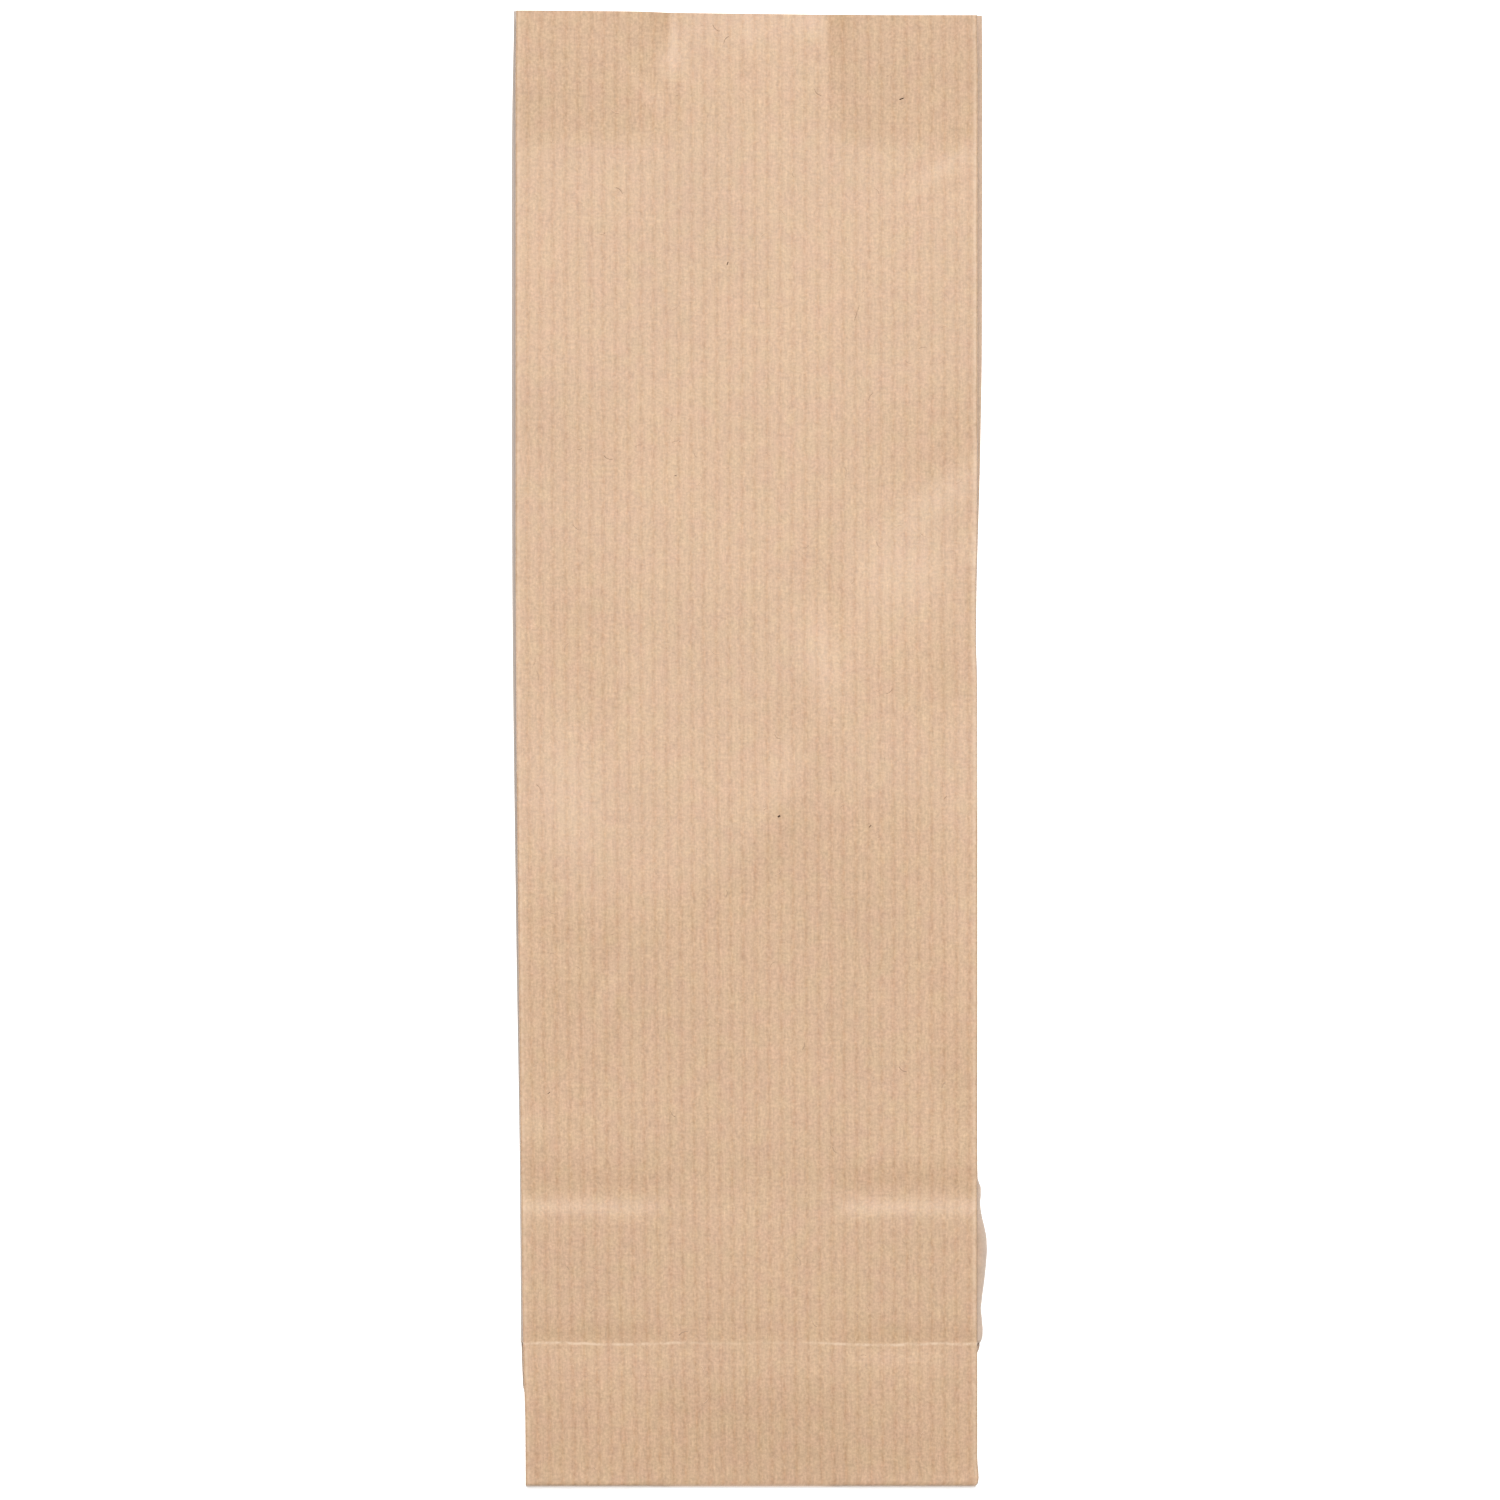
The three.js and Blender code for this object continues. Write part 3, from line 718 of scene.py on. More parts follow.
def scaled(tree, place, size):
    """The place, with the given size across and up as its unit."""
    return add_node(tree, "ShaderNodeMapping", {
        "Vector": place, "Scale": (1 / size[0], 1 / size[1], 1)})


def clouds(tree, place, scale, detail, roughness=0.5):
    return add_node(tree, "ShaderNodeTexNoise", {
        "Vector": place, "Scale": scale, "Detail": detail, "Roughness": roughness})


def painted(tree, share, under, over):
    """One colour over another, by the share of it that is covered."""
    return add_node(tree, "ShaderNodeMix", {"Factor": share, "A": under, "B": over},
                    data_type="RGBA")


def new_material(name):
    material = bpy.data.materials.new(name)
    material.use_nodes = True
    material.node_tree.nodes.clear()
    return material, material.node_tree


# Kraft paper: unbleached softwood pulp, pressed on a ribbed roll. It is matt and warm brown, with
# soft darker stripes 2.2 mm apart whose edges are ragged, a mottle of matted fibres about half a
# millimetre across, faint lengthwise fibres, and a paler, cracked line where it was scored. Along
# its folds light and shade are painted: grey painted shade on the lower leaf's folds and along the
# foot, a dark painted shade line beside the right side fold, and a pale line inside the side folds
# that is partly scuffed paper and partly painted highlight.

# A wave texture turns by this many radians over one unit.
WAVE_RADIANS = 20.0
STRIPE_SHARPNESS = 1.9
STRIPE_WANDER = 1.1
STRIPE_WANDER_GRAIN = 4.6
# The broken fibres along a stripe: their size in mm, across and up, and how faint and how strong
# they leave it.
DASH_MM = (0.55, 1.5)
DASH_SHOWS = (0.15, 1.6)

# Matted fibres, lengthwise fibres, mottle and slow clouds: each one's size in mm, across and up,
# and how much lighter or darker it makes the paper.
MATTING = (
    ((0.5, 0.5), 0.068),
    ((0.35, 2.4), 0.042),
    ((1.6, 1.6), 0.02),
    ((26.0, 26.0), 0.016),
)
GRAIN_RELIEF = 0.06
ROUGHNESS = (0.41, 0.53)

# The pulp is a little pinker here and yellower there, over this many mm.
PULP_MM = 3.0
PULP_HUE = 0.005
PULP_SEED = 7.0

# The scored line: how far it wanders, its half width, how broken it is and how strongly it shows
# along the middle, where it goes through fewer sheets than over the gussets.
SCORE_WANDER = 1.1
WANDERS_PER_MM = 0.05
SCORE_HALF_WIDTH = 0.42
CRUMBS_PER_MM = 0.7
CRUMBLE = (0.12, 1.0)
SCORE_IN_MIDDLE = 0.25

# The side folds and the foot, where light and shade are painted. Each has its half width and how
# strongly it shows.
# A pale line just inside each side fold: partly scuffed paper, partly painted highlight.
FOLD_HIGHLIGHT_AT = FRONT_EDGE_U - 0.45
FOLD_HIGHLIGHT = (0.5, 0.5)
# Painted shade: a dark line just past the right side fold.
FOLD_SHADOW_AT = FRONT_EDGE_U + 0.05
FOLD_SHADOW = (0.32, 0.8)
# Painted shade: grey over the lower leaf's left fold, and a thin grey line along the crease at the
# foot.
LEFT_FOLD_SHADE = (2.8, 1.0)
FOOT_SHADE_LINE = (0.5, 0.5)
# Painted shade on the lower leaf's right fold: fainter than on the left, and past this height half as
# strong as at its foot.
RIGHT_FOLD_SHADE = (0.6, 0.3)
RIGHT_SHADE_HALF_AT = 120.0


def stripe_share(tree, sheet_mm, strength):
    """The ribs: a sine stripe whose edges wander and which breaks up with the fibres."""
    wave = add_node(tree, "ShaderNodeTexWave", {
        "Vector": sheet_mm,
        "Scale": math.tau / (WAVE_RADIANS * RIB_PITCH),
        "Distortion": STRIPE_WANDER,
        "Detail": 2.0,
        "Detail Scale": STRIPE_WANDER_GRAIN,
        "Detail Roughness": 0.65,
        "Phase Offset": -math.tau * RIB_AT / RIB_PITCH,
    }, wave_type="BANDS", bands_direction="X", wave_profile="SIN")
    broken = clouds(tree, scaled(tree, sheet_mm, DASH_MM), 1.0, 3.0, 0.65)
    faint, strong = DASH_SHOWS
    uneven = spread(tree, broken, 0.35, 0.68, faint * strength, strong * strength)
    hollow = calculate(tree, "SUBTRACT", 1.0, wave.outputs["Fac"])
    hollow = calculate(tree, "POWER", hollow, STRIPE_SHARPNESS)
    return calculate(tree, "MULTIPLY", hollow, uneven)


def matted_fibres(tree, sheet_mm):
    """The paper's finest grain, and the factor by which all its fibres lighten or darken it."""
    textures = [clouds(tree, scaled(tree, sheet_mm, size), 1.0, 2.0, 0.6) for size, _ in MATTING]
    tone = 1.0
    for texture, (_, strength) in zip(textures, MATTING):
        factor = spread(tree, texture, 0.3, 0.7, 1 - 2 * strength, 1 + 2 * strength, clamp=False)
        tone = calculate(tree, "MULTIPLY", tone, factor)
    return textures[0], tone


def kraft_paper(name, face, stripe, wear_and_painted_light, stripes, scored):
    """The sheet's material. stripes is how strongly the ribs show, and scored is how strongly the
    cracked score line and the lines painted along the folds show. The given line colours are the pale
    one for the score and the side folds (partly painted highlight), the grey of the painted shade on
    the lower leaf's folds and foot, and the dark painted shade beside the right side fold."""
    material, tree = new_material(name)
    on_sheet = add_node(tree, "ShaderNodeUVMap", uv_map=PAPER_UV)
    sheet_mm = add_node(tree, "ShaderNodeMapping", {
        "Vector": on_sheet,
        "Location": (-MAP_LEFT, -MAP_BELOW, 0),
        "Scale": (PAPER_MAP, PAPER_MAP, 1),
    })
    share = stripe_share(tree, sheet_mm, stripes)
    colour = painted(tree, share, (*face, 1.0), (*stripe, 1.0))
    grain, tone = matted_fibres(tree, sheet_mm)
    colour = add_node(tree, "ShaderNodeVectorMath", {0: colour, "Scale": tone}, operation="SCALE")
    pulp = add_node(tree, "ShaderNodeTexNoise", {
        "Vector": sheet_mm, "Scale": 1 / PULP_MM, "Detail": 1.0, "W": PULP_SEED},
        noise_dimensions="4D")
    hue = spread(tree, pulp, 0.3, 0.7, 0.5 - PULP_HUE, 0.5 + PULP_HUE)
    colour = add_node(tree, "ShaderNodeHueSaturation", {"Color": colour, "Hue": hue})
    if scored:
        colour = wear_and_painted_light_lines(tree, colour, sheet_mm, wear_and_painted_light, scored)
    relief = add_node(tree, "ShaderNodeBump", {
        "Height": grain, "Strength": 0.35, "Distance": GRAIN_RELIEF * MM})
    shader = add_node(tree, "ShaderNodeBsdfPrincipled", {
        "Base Color": colour, "Roughness": spread(tree, grain, 0.2, 0.8, *ROUGHNESS),
        "Normal": relief, "IOR": 1.55})
    add_node(tree, "ShaderNodeOutputMaterial", {"Surface": shader})
    return material


def wear_and_painted_light_lines(tree, colour, sheet_mm, wear_and_painted_light, strength):
    """Mixes in the pale, cracked line scored across the sheet, the grey painted shade on the lower
    leaf's folds and along the foot, the dark painted shade line beside the right side fold, and the
    pale line inside the side folds, which is partly scuffed paper and partly painted highlight.
    """
    # The pale line colour, the grey painted shade and the dark painted shade.
    worn_and_highlight, shaded, shadowed = wear_and_painted_light
    across_up = add_node(tree, "ShaderNodeSeparateXYZ", {0: sheet_mm})
    across, up = across_up.outputs["X"], across_up.outputs["Y"]
    around = calculate(tree, "ABSOLUTE", across)

    wander = clouds(tree, sheet_mm, WANDERS_PER_MM, 4.0, 0.6)
    score_at = spread(tree, wander, 0.0, 1.0, HALF_DEPTH - SCORE_WANDER, HALF_DEPTH + SCORE_WANDER)
    patchy = spread(tree, clouds(tree, sheet_mm, CRUMBS_PER_MM, 3.0, 0.7), 0.37, 0.58, *CRUMBLE)
    hardest = spread(tree, around, GUSSET_CREASE / 2, GUSSET_CREASE + 2,
                     SCORE_IN_MIDDLE * strength, strength, interpolation_type="SMOOTHSTEP")
    cracked = calculate(tree, "MULTIPLY", patchy, hardest)
    highlight_width, highlight_share = FOLD_HIGHLIGHT
    scuffed_highlight = calculate(tree, "MULTIPLY", patchy, highlight_share * strength)
    low, high = RIGHT_FOLD_SHADE
    right_fold_shade = spread(tree, up, RIGHT_SHADE_HALF_AT / 2, RIGHT_SHADE_HALF_AT, low * strength, high * strength,
                        interpolation_type="SMOOTHSTEP")
    left_width, left_share = LEFT_FOLD_SHADE
    foot_width, foot_share = FOOT_SHADE_LINE
    shadow_width, shadow_share = FOLD_SHADOW
    # Each line: the grey painted shade on the lower leaf's left and right folds and along the foot,
    # the dark painted shade beside the right side fold, the cracked score line, and the pale line
    # inside the side folds, partly scuffed paper and partly painted highlight.
    for along, at, half_width, share, tone in (
        (across, -REAR_EDGE_U, left_width, left_share * strength, shaded),
        (across, REAR_EDGE_U, left_width, right_fold_shade, shaded),
        (up, 0.0, foot_width, foot_share * strength, shaded),
        (across, FOLD_SHADOW_AT, shadow_width, shadow_share * strength, shadowed),
        (up, score_at, SCORE_HALF_WIDTH, cracked, worn_and_highlight),
        (around, FOLD_HIGHLIGHT_AT, highlight_width, scuffed_highlight, worn_and_highlight),
    ):
        away = calculate(tree, "ABSOLUTE", calculate(tree, "SUBTRACT", along, at))
        line = spread(tree, away, 0.0, half_width, 1.0, 0.0, interpolation_type="SMOOTHSTEP")
        amount = calculate(tree, "MULTIPLY", line, share)
        colour = painted(tree, amount, colour, (*tone, 1.0))
    return colour


# Grain of the card and of the flecks, in lumps for each metre.
CARD_TOOTH = 900.0
BARK_GRAIN = 2500.0


def lit_card(name, face, glow):
    """White card lit through from behind: matt, with a faint tooth that keeps its gloss even. Its
    glow takes the shadows off it."""
    material, tree = new_material(name)
    place = add_node(tree, "ShaderNodeTexCoord").outputs["Object"]
    matt = spread(tree, clouds(tree, place, CARD_TOOTH, 1.0), 0.0, 1.0, 0.9, 1.0)
    shader = add_node(tree, "ShaderNodeBsdfPrincipled", {
        "Base Color": (*face, 1.0), "Roughness": matt, "Specular IOR Level": 0.2,
        "Emission Color": (1.0, 1.0, 1.0, 1.0), "Emission Strength": glow})
    add_node(tree, "ShaderNodeOutputMaterial", {"Surface": shader})
    return material


def bark_flecks(name, pale, dark):
    """Specks of bark and stray fibres left in the pulp: matt, from tan to nearly black."""
    material, tree = new_material(name)
    darkness = add_node(tree, "ShaderNodeAttribute", attribute_name="darkness").outputs["Fac"]
    place = add_node(tree, "ShaderNodeTexCoord").outputs["Object"]
    shade = spread(tree, clouds(tree, place, BARK_GRAIN, 1.0), 0.0, 1.0, 0.8, 1.2)
    share = calculate(tree, "MULTIPLY", darkness, shade, use_clamp=True)
    shader = add_node(tree, "ShaderNodeBsdfPrincipled", {
        "Base Color": painted(tree, share, (*pale, 1.0), (*dark, 1.0)),
        "Roughness": 0.9, "IOR": 1.45})
    add_node(tree, "ShaderNodeOutputMaterial", {"Surface": shader})
    return material


# ---------------------------------------------------------------------------------------------
# Geometry Nodes: the ribs of the paper, and the flecks that lie in it.

def new_tree(name, sizes):
    """A Geometry Nodes tree with named inputs: a geometry, the given sizes and a material."""
    tree = bpy.data.node_groups.new(name, "GeometryNodeTree")
    tree.interface.new_socket("Geometry", in_out="INPUT", socket_type="NodeSocketGeometry")
    for size, default in sizes.items():
        socket = tree.interface.new_socket(size, in_out="INPUT", socket_type="NodeSocketFloat")
        socket.default_value = default
    tree.interface.new_socket("Material", in_out="INPUT", socket_type="NodeSocketMaterial")
    tree.interface.new_socket("Geometry", in_out="OUTPUT", socket_type="NodeSocketGeometry")
    return tree, tree.nodes.new("NodeGroupInput")


def finish_tree(tree, geometry, source):
    realised = add_node(tree, "GeometryNodeRealizeInstances", {"Geometry": geometry})
    coated = add_node(tree, "GeometryNodeSetMaterial", {
        "Geometry": realised, "Material": source.outputs["Material"]})
    output = tree.nodes.new("NodeGroupOutput")
    tree.links.new(coated.outputs["Geometry"], output.inputs["Geometry"])
    return tree


def rib_tree():
    """Presses ribs into the sheet: they run up the paper, so they follow its own map."""
    tree, source = new_tree("press_ribs", {
        "Pitch": RIB_PITCH * MM, "Height": 0.0, "First Hollow": RIB_AT * MM})
    on_paper = add_node(tree, "GeometryNodeInputNamedAttribute", {"Name": PAPER_UV},
                        data_type="FLOAT_VECTOR")
    across = add_node(tree, "ShaderNodeSeparateXYZ", {0: on_paper})
    metres = calculate(tree, "MULTIPLY_ADD", across.outputs["X"], PAPER_MAP * MM, -MAP_LEFT * MM)
    from_hollow = calculate(tree, "SUBTRACT", metres, source.outputs["First Hollow"])
    ribs = calculate(tree, "DIVIDE", from_hollow, source.outputs["Pitch"])
    wave = calculate(tree, "COSINE", calculate(tree, "MULTIPLY", ribs, math.tau))
    sunk = calculate(tree, "MULTIPLY", wave, -0.5)
    rise = calculate(tree, "MULTIPLY", sunk, source.outputs["Height"])
    outwards = tree.nodes.new("GeometryNodeInputNormal")
    offset = add_node(tree, "ShaderNodeVectorMath", {0: outwards, "Scale": rise},
                      operation="SCALE")
    pressed = add_node(tree, "GeometryNodeSetPosition", {
        "Geometry": source.outputs["Geometry"], "Offset": offset})
    return finish_tree(tree, pressed, source)


# Sizes of a fleck before it is laid, as shares of its length.
BARK_BEND = 0.12
FIBRE_THICKNESS = 0.08


def fleck_tree():
    """Lays a bent fleck on every point, turned and sized as the point says."""
    tree, source = new_tree("lay_flecks", {"Bend": BARK_BEND, "Thickness": 1.0})
    middle = add_node(tree, "ShaderNodeCombineXYZ", {"Y": source.outputs["Bend"]})
    line = add_node(tree, "GeometryNodeCurveQuadraticBezier", {
        "Resolution": 2, "Start": (-0.5, 0, 0), "Middle": middle, "End": (0.5, 0, 0)})
    radius = calculate(tree, "MULTIPLY", source.outputs["Thickness"], 0.5)
    outline = add_node(tree, "GeometryNodeCurvePrimitiveCircle", {
        "Resolution": 4, "Radius": radius}, mode="RADIUS")
    fleck = add_node(tree, "GeometryNodeCurveToMesh", {
        "Curve": line, "Profile Curve": outline, "Fill Caps": True})
    turn = add_node(tree, "GeometryNodeInputNamedAttribute", {"Name": "turn"}, data_type="FLOAT")
    size = add_node(tree, "GeometryNodeInputNamedAttribute", {"Name": "size"},
                    data_type="FLOAT_VECTOR")
    angles = add_node(tree, "ShaderNodeCombineXYZ", {"Z": turn})
    rotation = add_node(tree, "FunctionNodeEulerToRotation", {0: angles})
    laid = add_node(tree, "GeometryNodeInstanceOnPoints", {
        "Points": source.outputs["Geometry"], "Instance": fleck, "Rotation": rotation,
        "Scale": size})
    return finish_tree(tree, laid, source)


def apply_tree(piece, tree, values):
    """Adds the tree as a modifier and sets its inputs by their sockets' identifiers."""
    modifier = piece.modifiers.new(tree.name, "NODES")
    modifier.node_group = tree
    for socket in tree.interface.items_tree:
        if socket.in_out == "INPUT" and socket.name in values:
            modifier[socket.identifier] = values[socket.name]


def plain_mesh(piece):
    """Turns the piece's modifiers into its mesh and removes them."""
    bpy.context.view_layer.update()
    graph = bpy.context.evaluated_depsgraph_get()
    mesh = bpy.data.meshes.new_from_object(piece.evaluated_get(graph),
                                           preserve_all_data_layers=True, depsgraph=graph)
    piece.modifiers.clear()
    before = piece.data
    piece.data = mesh
    bpy.data.meshes.remove(before)


# ---------------------------------------------------------------------------------------------
# The flecks. Those that the eye finds first have their places; the stray fibres are scattered.

# (x, v, length, thickness, turn in degrees, darkness)
FLECKS_THAT_SHOW = (
    (26.8, 241.5, 0.75, 0.22, 20, 1.0),
    (-3.3, 212.6, 0.6, 0.16, 70, 0.9),
    (-12.3, 175.6, 0.35, 0.14, 0, 0.8),
    (5.57, 116.6, 0.45, 0.3, 30, 1.0),
    (21.4, 115.0, 0.5, 0.16, 50, 0.8),
    (-34.96, 68.4, 0.55, 0.15, 40, 0.75),
    (19.1, 204.3, 2.7, 0.07, 72, 0.55),
)
FRONT_FIBRES = 300
BACK_FIBRES = 150
FIBRE_SEED = 31
CLEAR_OF_EDGES = 2.0
BACK_FIBRES_FROM = BASE_DEPTH + 14
FIBRE_LENGTH = (0.4, 1.7)
PALE_SHARE = 0.35
FIBRE_DARKNESS = (0.15, 0.5)


def on_front(x, v):
    place = front_panel(x, v)
    return place[0], place[1], place[2] + HALF_SHEET


def on_back(x, v):
    place = back_panel(x, v, -REAR_EDGE_U)
    return place[0], place[1], place[2] - HALF_SHEET


def bark_places():
    """The flecks that show, as (place in the bag, length, thickness, turn, darkness)."""
    return [(on_front(x, v), length, thickness, math.radians(turn), darkness)
            for x, v, length, thickness, turn, darkness in FLECKS_THAT_SHOW]


def fibre_places():
    """Stray fibres over the front and the back, some paler than the paper and some darker."""
    fibres = []
    chance = random.Random(FIBRE_SEED)
    for side_of_bag, lowest, count in (
        (on_front, CLEAR_OF_EDGES, FRONT_FIBRES),
        (on_back, BACK_FIBRES_FROM, BACK_FIBRES),
    ):
        for _ in range(count):
            x = chance.uniform(-HALF_WIDTH + CLEAR_OF_EDGES, HALF_WIDTH - CLEAR_OF_EDGES)
            v = chance.uniform(lowest, BAG_LENGTH - CLEAR_OF_EDGES)
            length = lerp(*FIBRE_LENGTH, chance.random() ** 2)
            pale = chance.random() < PALE_SHARE
            darkness = 0.0 if pale else lerp(*FIBRE_DARKNESS, chance.random() ** 2)
            turn = chance.uniform(0, math.tau)
            fibres.append((side_of_bag(x, v), length, length, turn, darkness))
    return fibres


def fleck_points(name, flecks):
    """One point for each fleck, which says how it is turned and sized and how dark it is."""
    mesh = bpy.data.meshes.new(name)
    mesh.from_pydata([in_frame(fleck[0]) for fleck in flecks], [], [])
    for attribute, kind in (("turn", "FLOAT"), ("size", "FLOAT_VECTOR"), ("darkness", "FLOAT")):
        mesh.attributes.new(attribute, kind, "POINT")
    turns = mesh.attributes["turn"].data
    sizes = mesh.attributes["size"].data
    darkness = mesh.attributes["darkness"].data
    for i, (_, length, thickness, angle, dark) in enumerate(flecks):
        turns[i].value = angle
        sizes[i].vector = (length * MM, thickness * MM, thickness * MM)
        darkness[i].value = dark
    return mesh


# ---------------------------------------------------------------------------------------------
# What a user would change.

def colour_property(name, description, hex_colour):
    return FloatVectorProperty(name=name, description=description, subtype="COLOR", size=3,
                               min=0.0, max=1.0, default=linear(hex_colour)[:3])


def length_property(name, description, default_mm, least_mm, most_mm):
    return FloatProperty(name=name, description=description, default=default_mm * MM,
                         min=least_mm * MM, max=most_mm * MM, precision=6, subtype="DISTANCE",
                         unit="LENGTH")


def share_property(name, description, default, most=1.0):
    return FloatProperty(name=name, description=description, default=default, min=0.0, max=most,
                         subtype="FACTOR")


class PaperSizes(PropertyGroup):
    thickness: length_property("Paper Thickness", "Thickness of the kraft paper", SHEET, 0.05, 0.4)
    rib_pitch: length_property("Rib Pitch", "From the hollow of one rib to the next", RIB_PITCH,
                               1.0, 10.0)
    rib_height: length_property("Rib Height", "From the hollow of a rib to its top", RIB_HEIGHT,
                                0.0, 0.1)
    rib_strength: share_property("Rib Strength", "How dark the stripes of the ribs are", 0.54)
    # How strongly the cracked score line and the painted shade and highlight lines along the folds
    # show.
    crease_wear_and_painted_light: share_property("Crease Wear", "How pale the scored line and the side folds are", 1.0)
    fibre_bend: share_property("Fibre Bend", "How far a stray fibre bows, as a share of its length",
                               0.3, 0.6)


class PaperColours(PropertyGroup):
    face: colour_property("Paper", "Kraft paper on the tops of its ribs", "#B8987A")
    stripe: colour_property("Stripes", "Kraft paper in the hollows of its ribs", "#AA8564")
    inner_face: colour_property("Inside", "The inner face of the paper", "#B5987D")
    # Pale lines: the cracked score, and inside the side folds, where it is partly painted highlight.
    worn_and_highlight: colour_property("Worn Creases", "Fibres broken open along a crease", "#CDB297")
    # Painted shade: grey on the lower leaf's folds and along the crease at the foot.
    shaded: colour_property("Rubbed Folds", "The lower leaf's folds, rubbed grey", "#B0A49B")
    # Painted shade: a dark line beside the right side fold.
    shadowed: colour_property("Crushed Folds", "Fibres crushed dark under the side folds", "#937459")
    cut_edge: colour_property("Cut Edge", "The cut edge of the paper", "#C7AF98")
    pale_fibre: colour_property("Pale Fibres", "Stray fibres paler than the pulp", "#CFB196")
    bark_fleck: colour_property("Dark Flecks", "Specks of bark in the pulp", "#433022")
    floor: colour_property("Floor", "The pale floor of the stage", "#FBFBFA")


class StageSettings(PropertyGroup):
    lens: FloatProperty(name="Lens", description="Focal length of the overhead camera",
                        default=200.0, min=20.0, max=400.0, subtype="DISTANCE_CAMERA")
    key_power: FloatProperty(name="Key Light", description="Power of the soft light past the mouth",
                             default=285.0, min=0.0, subtype="POWER", unit="POWER")
    floor_glow: FloatProperty(name="Floor Glow", description="Light that comes through the floor",
                              default=0.45, min=0.0)
    surround: FloatProperty(name="Surround", description="Brightness of the soft white surround",
                            default=0.4, min=0.0)


# ---------------------------------------------------------------------------------------------
# The operators.

PIECE = "paper_bag_sheet"
INSIDE_RIBS = 0.6
SHARP_FOLD = 62.0
FEWEST_FACES = 1000


def shown(name, mesh):
    piece = bpy.data.objects.new(name, mesh)
    bpy.context.scene.collection.objects.link(piece)
    return piece


class MESH_OT_fold_kraft_bag(Operator):
    """Fold the kraft paper bag, press its ribs and lay its flecks"""

    bl_idname = "mesh.fold_kraft_bag"
    bl_label = "Fold Kraft Bag"

    def execute(self, context):
        sizes = context.scene.paper_sizes
        colours = context.scene.paper_colours
        # Colours of the pale lines and of the painted shade along the folds.
        wear_and_painted_light = colours.worn_and_highlight, colours.shaded, colours.shadowed
        outside = kraft_paper("ribbed_kraft_paper", colours.face, colours.stripe, wear_and_painted_light,
                              sizes.rib_strength, sizes.crease_wear_and_painted_light)
        inside = kraft_paper("inside_of_kraft_paper", colours.inner_face, colours.stripe, wear_and_painted_light,
                             sizes.rib_strength * INSIDE_RIBS, 0.0)
        cut = kraft_paper("cut_edge_of_kraft_paper", colours.cut_edge, colours.stripe, wear_and_painted_light,
                          0.0, 0.0)
        flecks = bark_flecks("bark_flecks", colours.pale_fibre, colours.bark_fleck)

        bag = shown(PIECE, folded_sheet())
        for material in (outside, inside, cut):
            bag.data.materials.append(material)
        apply_tree(bag, rib_tree(), {
            "Pitch": sizes.rib_pitch, "Height": sizes.rib_height,
            "First Hollow": RIB_AT * MM, "Material": outside})
        wall = bag.modifiers.new("thickness", "SOLIDIFY")
        wall.thickness = sizes.thickness
        wall.offset = 0.0
        wall.use_rim = True
        wall.material_offset = 1
        wall.material_offset_rim = 2
        plain_mesh(bag)

        tree = fleck_tree()
        bark = shown("bark_flecks", fleck_points("bark_places", bark_places()))
        apply_tree(bark, tree, {"Bend": BARK_BEND, "Thickness": 1.0, "Material": flecks})
        fibres = shown("stray_fibres", fleck_points("fibre_places", fibre_places()))
        apply_tree(fibres, tree, {
            "Bend": sizes.fibre_bend, "Thickness": FIBRE_THICKNESS, "Material": flecks})
        plain_mesh(bark)
        plain_mesh(fibres)
        pieces = [bag, bark, fibres]
        for piece in pieces:
            piece.data.shade_smooth()
        bag.data.set_sharp_from_angle(angle=math.radians(SHARP_FOLD))
        with context.temp_override(active_object=bag, object=bag, selected_objects=pieces,
                                   selected_editable_objects=pieces):
            bpy.ops.object.join()
        if len(bag.data.polygons) < FEWEST_FACES:
            raise RuntimeError("the bag has too few faces")
        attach(bag, "root")
        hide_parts("paper_bag")
        return {"FINISHED"}


# The stage. The photograph is taken from straight above this place on the bag, as x and v, and
# shows this much, measured at the height of the front panel.
VIEW_OVER = (0.52, 128.08)
VIEW_WIDTH = 260.87
PANEL_HEIGHT = 3.4
SENSOR_MM = 36.0
FLOOR_HALF_SIDE = 3.0
KEY_PLACE = (0.15, 2.2, 4.4)
KEY_SIDE = 2.1


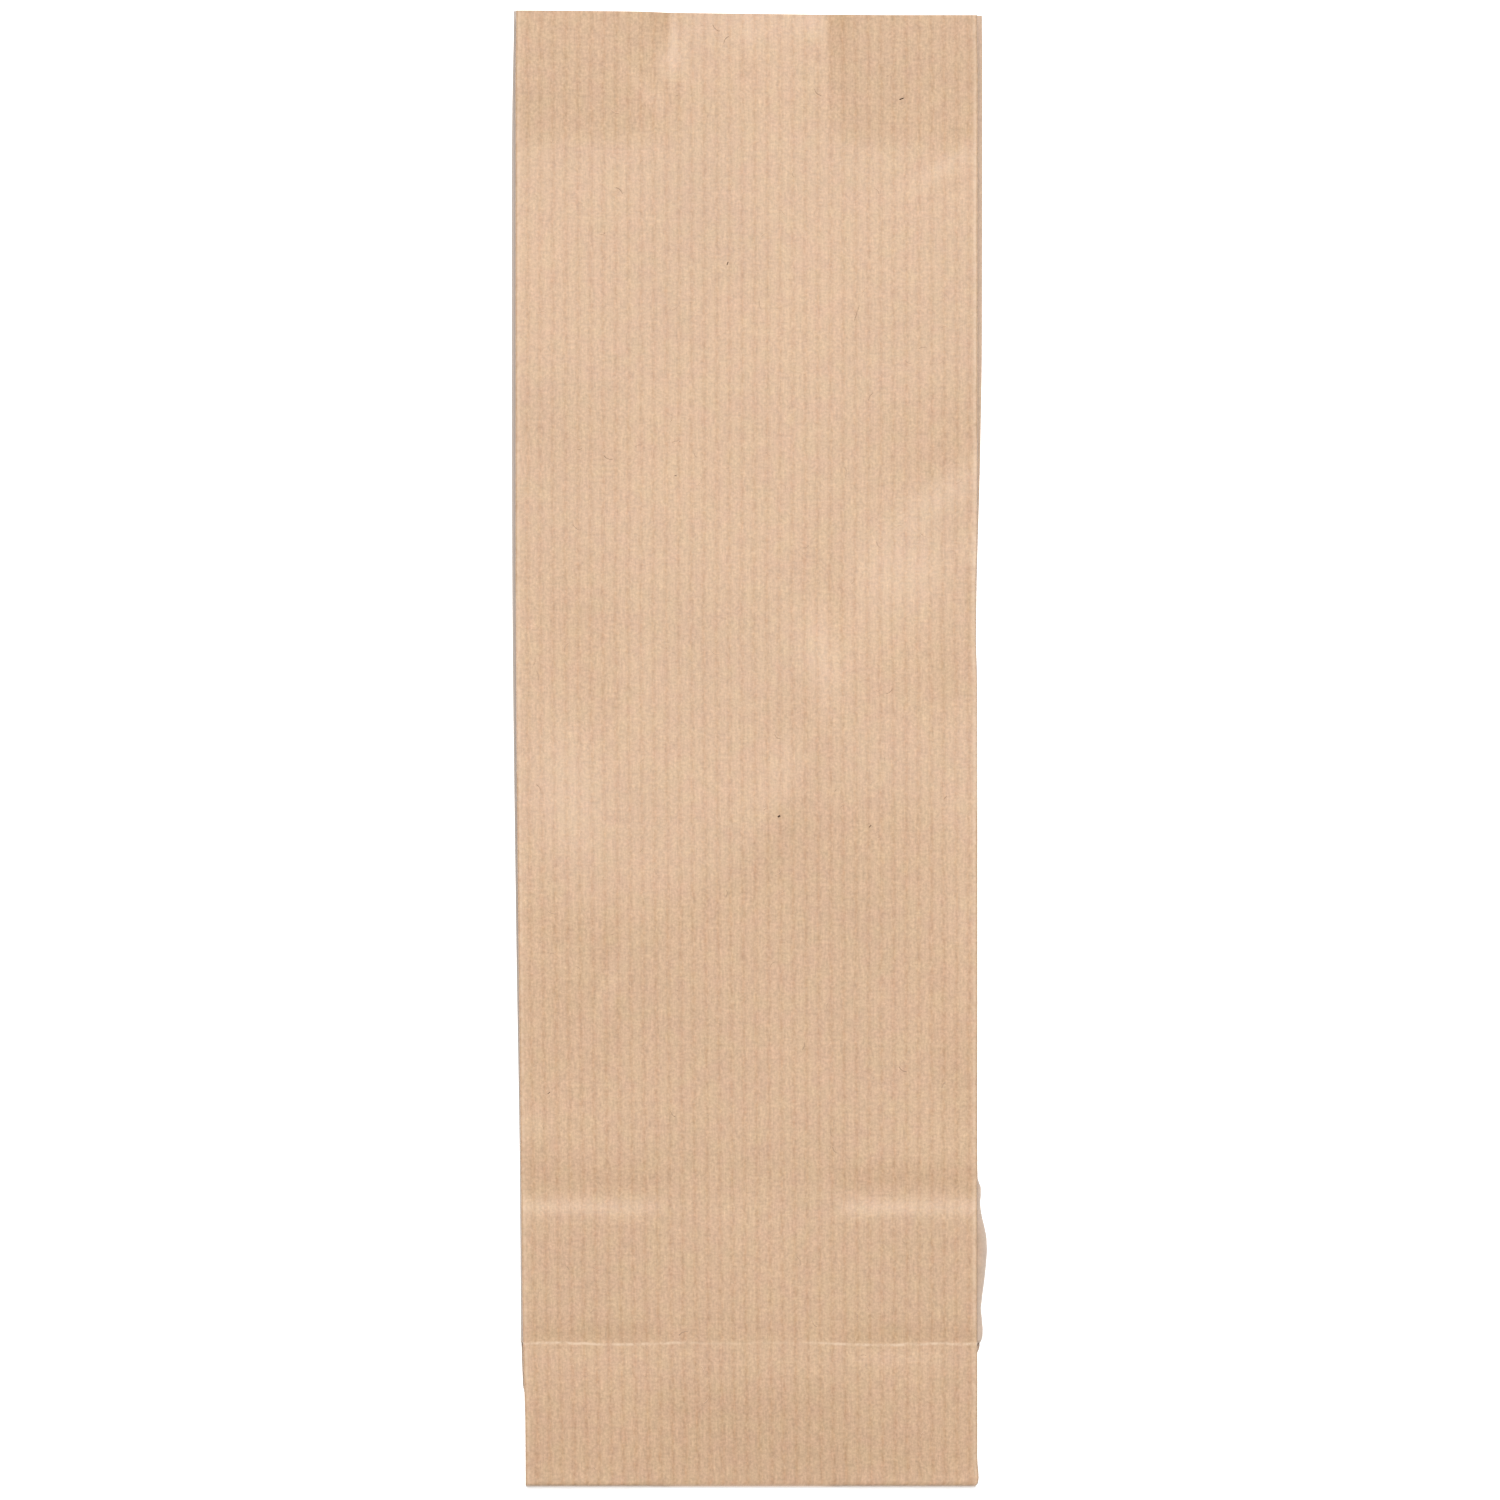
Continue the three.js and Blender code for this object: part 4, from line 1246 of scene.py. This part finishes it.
class SCENE_OT_set_bag_stage(Operator):
    """Set the pale floor, the soft light and the overhead camera"""

    bl_idname = "scene.set_bag_stage"
    bl_label = "Set Bag Stage"

    def execute(self, context):
        scene = context.scene
        stage = scene.bag_stage
        colours = scene.paper_colours

        half = FLOOR_HALF_SIDE
        mesh = bpy.data.meshes.new("stage_floor")
        mesh.from_pydata([(-half, -half, 0), (half, -half, 0), (half, half, 0), (-half, half, 0)],
                         [], [(0, 1, 2, 3)])
        floor = shown("stage_floor", mesh)
        mesh.materials.append(lit_card("pale_floor", colours.floor, stage.floor_glow))

        world = bpy.data.worlds.new("soft_white_surround")
        world.use_nodes = True
        background = world.node_tree.nodes["Background"]
        background.inputs["Color"].default_value = (1, 1, 1, 1)
        background.inputs["Strength"].default_value = stage.surround
        scene.world = world
        scene.view_settings.view_transform = "Standard"

        lamp = bpy.data.lights.new("key_light", "AREA")
        lamp.shape = "SQUARE"
        lamp.size = KEY_SIDE
        lamp.energy = stage.key_power
        key = bpy.data.objects.new("key_light", lamp)
        key.location = KEY_PLACE
        key.rotation_euler = (-Vector(KEY_PLACE)).to_track_quat("-Z", "Y").to_euler()
        scene.collection.objects.link(key)

        camera = bpy.data.cameras.new("overhead_camera")
        camera.sensor_width = SENSOR_MM
        camera.lens = stage.lens
        camera.clip_start = 0.01
        camera.clip_end = 20
        view = bpy.data.objects.new("overhead_camera", camera)
        view.location = in_frame((*VIEW_OVER, PANEL_HEIGHT + VIEW_WIDTH * stage.lens / SENSOR_MM))
        scene.collection.objects.link(view)
        scene.camera = view
        return {"FINISHED"}


class VIEW3D_PT_kraft_bag(Panel):
    """Lists the bag's operators and their settings"""

    bl_idname = "VIEW3D_PT_kraft_bag"
    bl_label = "Kraft Paper Bag"
    bl_space_type = "VIEW_3D"
    bl_region_type = "UI"
    bl_category = "Paper Bag"

    def draw(self, context):
        for settings, operator in (
            (context.scene.paper_sizes, None),
            (context.scene.paper_colours, MESH_OT_fold_kraft_bag),
            (context.scene.bag_stage, SCENE_OT_set_bag_stage),
        ):
            for name in settings.__annotations__:
                self.layout.prop(settings, name)
            if operator:
                self.layout.operator(operator.bl_idname)


CLASSES = (PaperSizes, PaperColours, StageSettings, MESH_OT_fold_kraft_bag,
           SCENE_OT_set_bag_stage, VIEW3D_PT_kraft_bag)


def register():
    for cls in CLASSES:
        bpy.utils.register_class(cls)
    bpy.types.Scene.paper_sizes = PointerProperty(type=PaperSizes)
    bpy.types.Scene.paper_colours = PointerProperty(type=PaperColours)
    bpy.types.Scene.bag_stage = PointerProperty(type=StageSettings)


def unregister():
    for name in ("paper_sizes", "paper_colours", "bag_stage"):
        delattr(bpy.types.Scene, name)
    for cls in reversed(CLASSES):
        bpy.utils.unregister_class(cls)


def main():
    register()
    bpy.ops.mesh.fold_kraft_bag()
    bpy.ops.scene.set_bag_stage()


if __name__ == "__main__":
    main()
